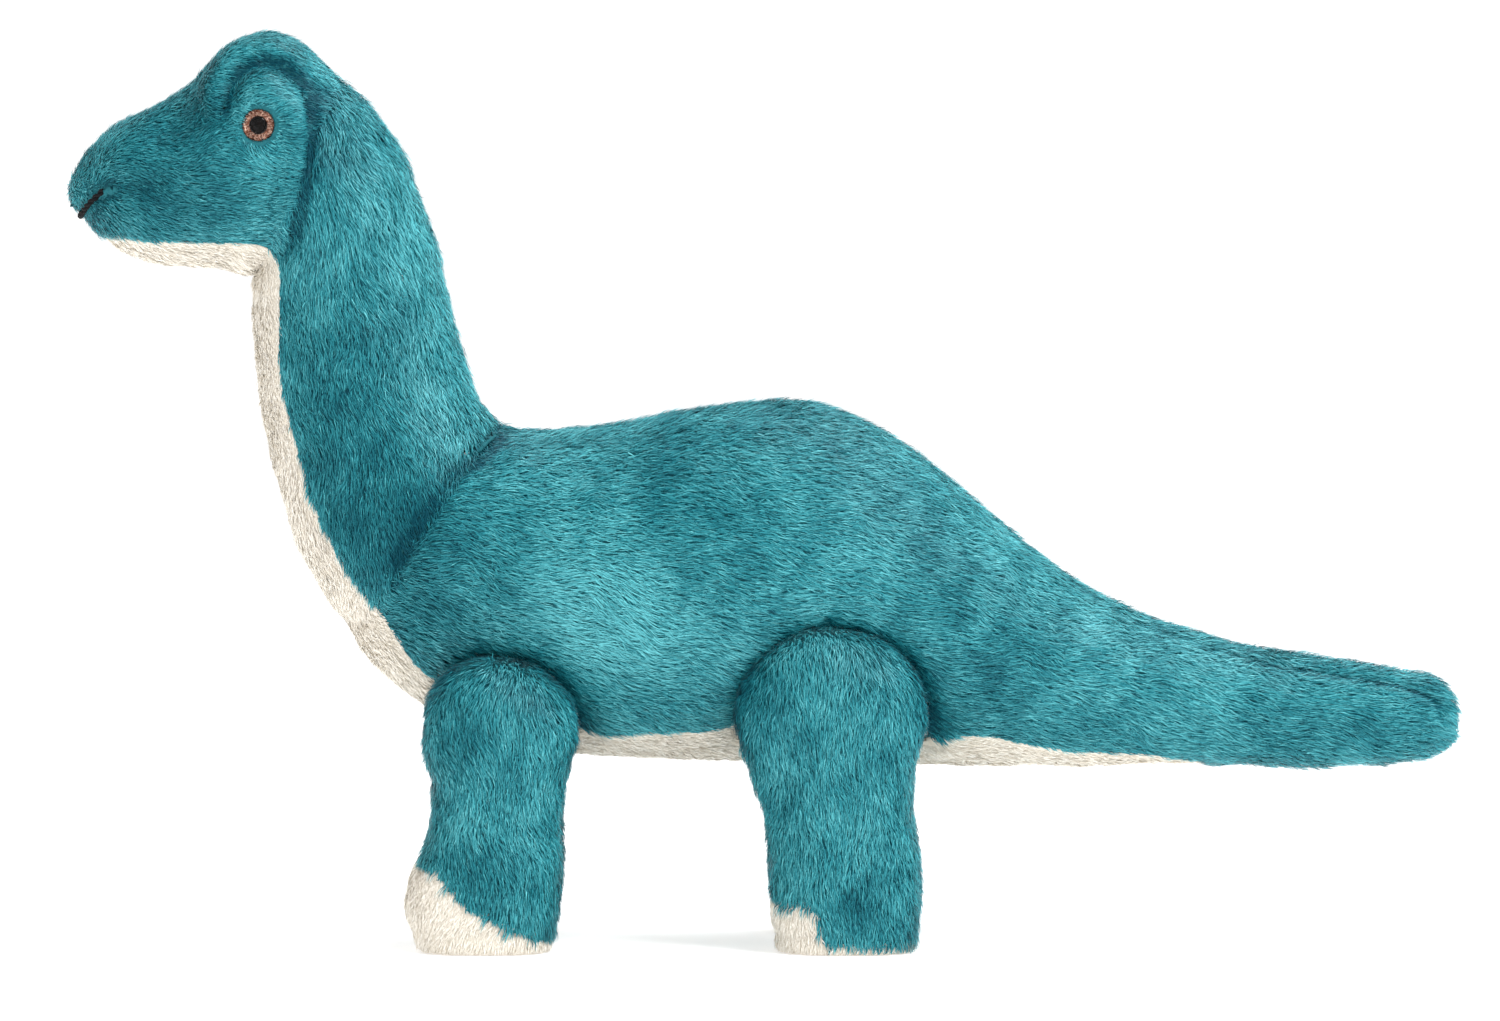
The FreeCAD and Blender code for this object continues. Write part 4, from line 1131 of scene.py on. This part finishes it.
def glitter_material():
    """Copper glitter set in resin: fine flakes of their own colour and tilt, with painted shade towards the
    outer rim, where the lens's edge lies in shadow, and dark next to the pupil.
    """
    material, shader = principled("copper_glitter", (0.5, 0.2, 0.09), 0.35, Metallic=0.6)
    tree = material.node_tree
    nodes, link = tree.nodes, tree.links.new
    where = nodes.new("ShaderNodeTexCoord")
    flakes = nodes.new("ShaderNodeTexVoronoi")
    set_inputs(flakes, Scale=2600.0)
    link(where.outputs["Object"], flakes.inputs["Vector"])
    value = nodes.new("ShaderNodeSeparateColor")
    link(flakes.outputs["Color"], value.inputs["Color"])
    ramp = nodes.new("ShaderNodeValToRGB")
    stops = ramp.color_ramp.elements
    stops[0].position, stops[0].color = 0.0, (0.04, 0.01, 0.006, 1)
    stops[1].position, stops[1].color = 1.0, (1.0, 0.68, 0.52, 1)
    middle = stops.new(0.5)
    middle.color = (0.42, 0.15, 0.09, 1)
    link(value.outputs["Red"], ramp.inputs["Fac"])
    flat = nodes.new("ShaderNodeVectorMath")
    flat.operation = "MULTIPLY"
    flat.inputs[1].default_value = (1, 0, 1)
    link(where.outputs["Object"], flat.inputs[0])
    away = nodes.new("ShaderNodeVectorMath")
    away.operation = "DISTANCE"
    away.inputs[1].default_value = (EYE[0] * MM, 0, EYE[1] * MM)
    link(flat.outputs["Vector"], away.inputs[0])
    reach = nodes.new("ShaderNodeMapRange")
    set_inputs(reach, From_Max=0.006)
    link(away.outputs["Value"], reach.inputs["Value"])
    # Painted shade: the flakes darken from about 4.8 mm out from the eye's axis to the rim, where the lens's
    # edge lies in shadow; they are also dark within about 3 mm, next to the pupil.
    painted_shade_rim = nodes.new("ShaderNodeValToRGB")
    dark, bright = painted_shade_rim.color_ramp.elements
    dark.position, dark.color = 0.5, (0.01, 0.01, 0.01, 1)
    bright.position, bright.color = 0.56, (1, 1, 1, 1)
    painted_shade_rim.color_ramp.elements.new(0.8).color = (1, 1, 1, 1)
    painted_shade_rim.color_ramp.elements.new(0.91).color = (0.04, 0.04, 0.04, 1)
    link(reach.outputs["Result"], painted_shade_rim.inputs["Fac"])
    shaded = nodes.new("ShaderNodeVectorMath")
    shaded.operation = "SCALE"
    link(ramp.outputs["Color"], shaded.inputs[0])
    link(painted_shade_rim.outputs["Color"], shaded.inputs["Scale"])
    link(shaded.outputs["Vector"], shader.inputs["Base Color"])
    relief = nodes.new("ShaderNodeBump")
    set_inputs(relief, Strength=0.6, Distance=0.0002)
    link(value.outputs["Green"], relief.inputs["Height"])
    link(relief.outputs["Normal"], shader.inputs["Normal"])
    return material


def moulded(name, colour, roughness, grain):
    """Injection-moulded plastic with a faint grain."""
    material, shader = principled(name, colour, roughness)
    nodes, link = material.node_tree.nodes, material.node_tree.links.new
    where = nodes.new("ShaderNodeTexCoord")
    noise = nodes.new("ShaderNodeTexNoise")
    set_inputs(noise, Scale=1500.0, Detail=3.0)
    link(where.outputs["Object"], noise.inputs["Vector"])
    relief = nodes.new("ShaderNodeBump")
    set_inputs(relief, Strength=grain, Distance=0.00005)
    link(noise.outputs["Fac"], relief.inputs["Height"])
    link(relief.outputs["Normal"], shader.inputs["Normal"])
    return material


def dress_nodes():
    """The eyes: their black parts are made anew, and lens, glitter and washer get their materials."""
    lens, _ = principled("clear_lens", (0.01, 0.006, 0.005), 0.03, Alpha=0.09, Specular_IOR_Level=0.5,
                         IOR=1.55)
    black = moulded("black_plastic", (0.002, 0.002, 0.002), 0.25, 0.1)
    set_inputs(black.node_tree.nodes["Principled BSDF"], Specular_IOR_Level=0.08)
    for side_name in ("left", "right"):
        make_eye(side_name, black)
    finishes = {
        "eye_lens": lens,
        "eye_glitter": glitter_material(),
        "eye_washer": moulded("white_plastic", (0.8, 0.8, 0.78), 0.4, 0.3),
    }
    for name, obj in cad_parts.items():
        finish = finishes.get(name.rsplit("_", 1)[0])
        if finish is None:
            continue
        for slot in obj.material_slots:
            slot.material = finish


dress_nodes()

# ---------------------------------------------------------------- floor, light and camera


def make_stage():
    """A plain pale floor, far wider than the view, and an even white sky."""
    floor = bmesh.new()
    bmesh.ops.create_grid(floor, x_segments=1, y_segments=1, size=45.0)
    mesh = bpy.data.meshes.new("floor")
    floor.to_mesh(mesh)
    floor.free()
    obj = bpy.data.objects.new("floor", mesh)
    scene.collection.objects.link(obj)
    material, _ = principled("floor_white", (0.9, 0.9, 0.9), 0.9, Specular_IOR_Level=0.0,
                             Emission_Strength=0.45, Emission_Color=(1, 1, 1, 1))
    mesh.materials.append(material)
    world = bpy.data.worlds.new("studio")
    scene.world = world
    world.use_nodes = True
    world.node_tree.nodes["Background"].inputs["Color"].default_value = (1, 1, 1, 1)
    world.node_tree.nodes["Background"].inputs["Strength"].default_value = 0.75


def add_light(name, at, size, power):
    """A square soft light turned to the middle of the toy."""
    light = bpy.data.lights.new(name, "AREA")
    light.shape, light.size, light.energy = "SQUARE", size, power
    obj = bpy.data.objects.new(name, light)
    obj.location = at
    obj.rotation_euler = (Vector((0, 0, 0.14)) - Vector(at)).to_track_quat("-Z", "Y").to_euler()
    scene.collection.objects.link(obj)


def make_camera():
    """A long lens from the toy's left, a little above it. width is how much of the toy's plane it sees."""
    lens, sensor, width = 300.0, 36.0, 0.5175
    distance = width * lens / sensor
    elevation = math.radians(3.0)
    target = Vector((-0.0045, 0, 0.149))
    camera = bpy.data.cameras.new("camera")
    camera.lens = lens
    camera.clip_end = 120
    obj = bpy.data.objects.new("camera", camera)
    obj.location = target + Vector((0, -math.cos(elevation), math.sin(elevation))) * distance
    obj.rotation_euler = (target - obj.location).to_track_quat("-Z", "Y").to_euler()
    scene.collection.objects.link(obj)
    scene.camera = obj


make_stage()
add_light("key", (0.9, -1.0, 1.5), 0.8, 28)
add_light("top", (0.2, 0.3, 1.8), 1.1, 20)
add_light("fill", (-1.3, -1.3, 0.6), 1.2, 4)
make_camera()
scene.view_settings.view_transform = "Standard"
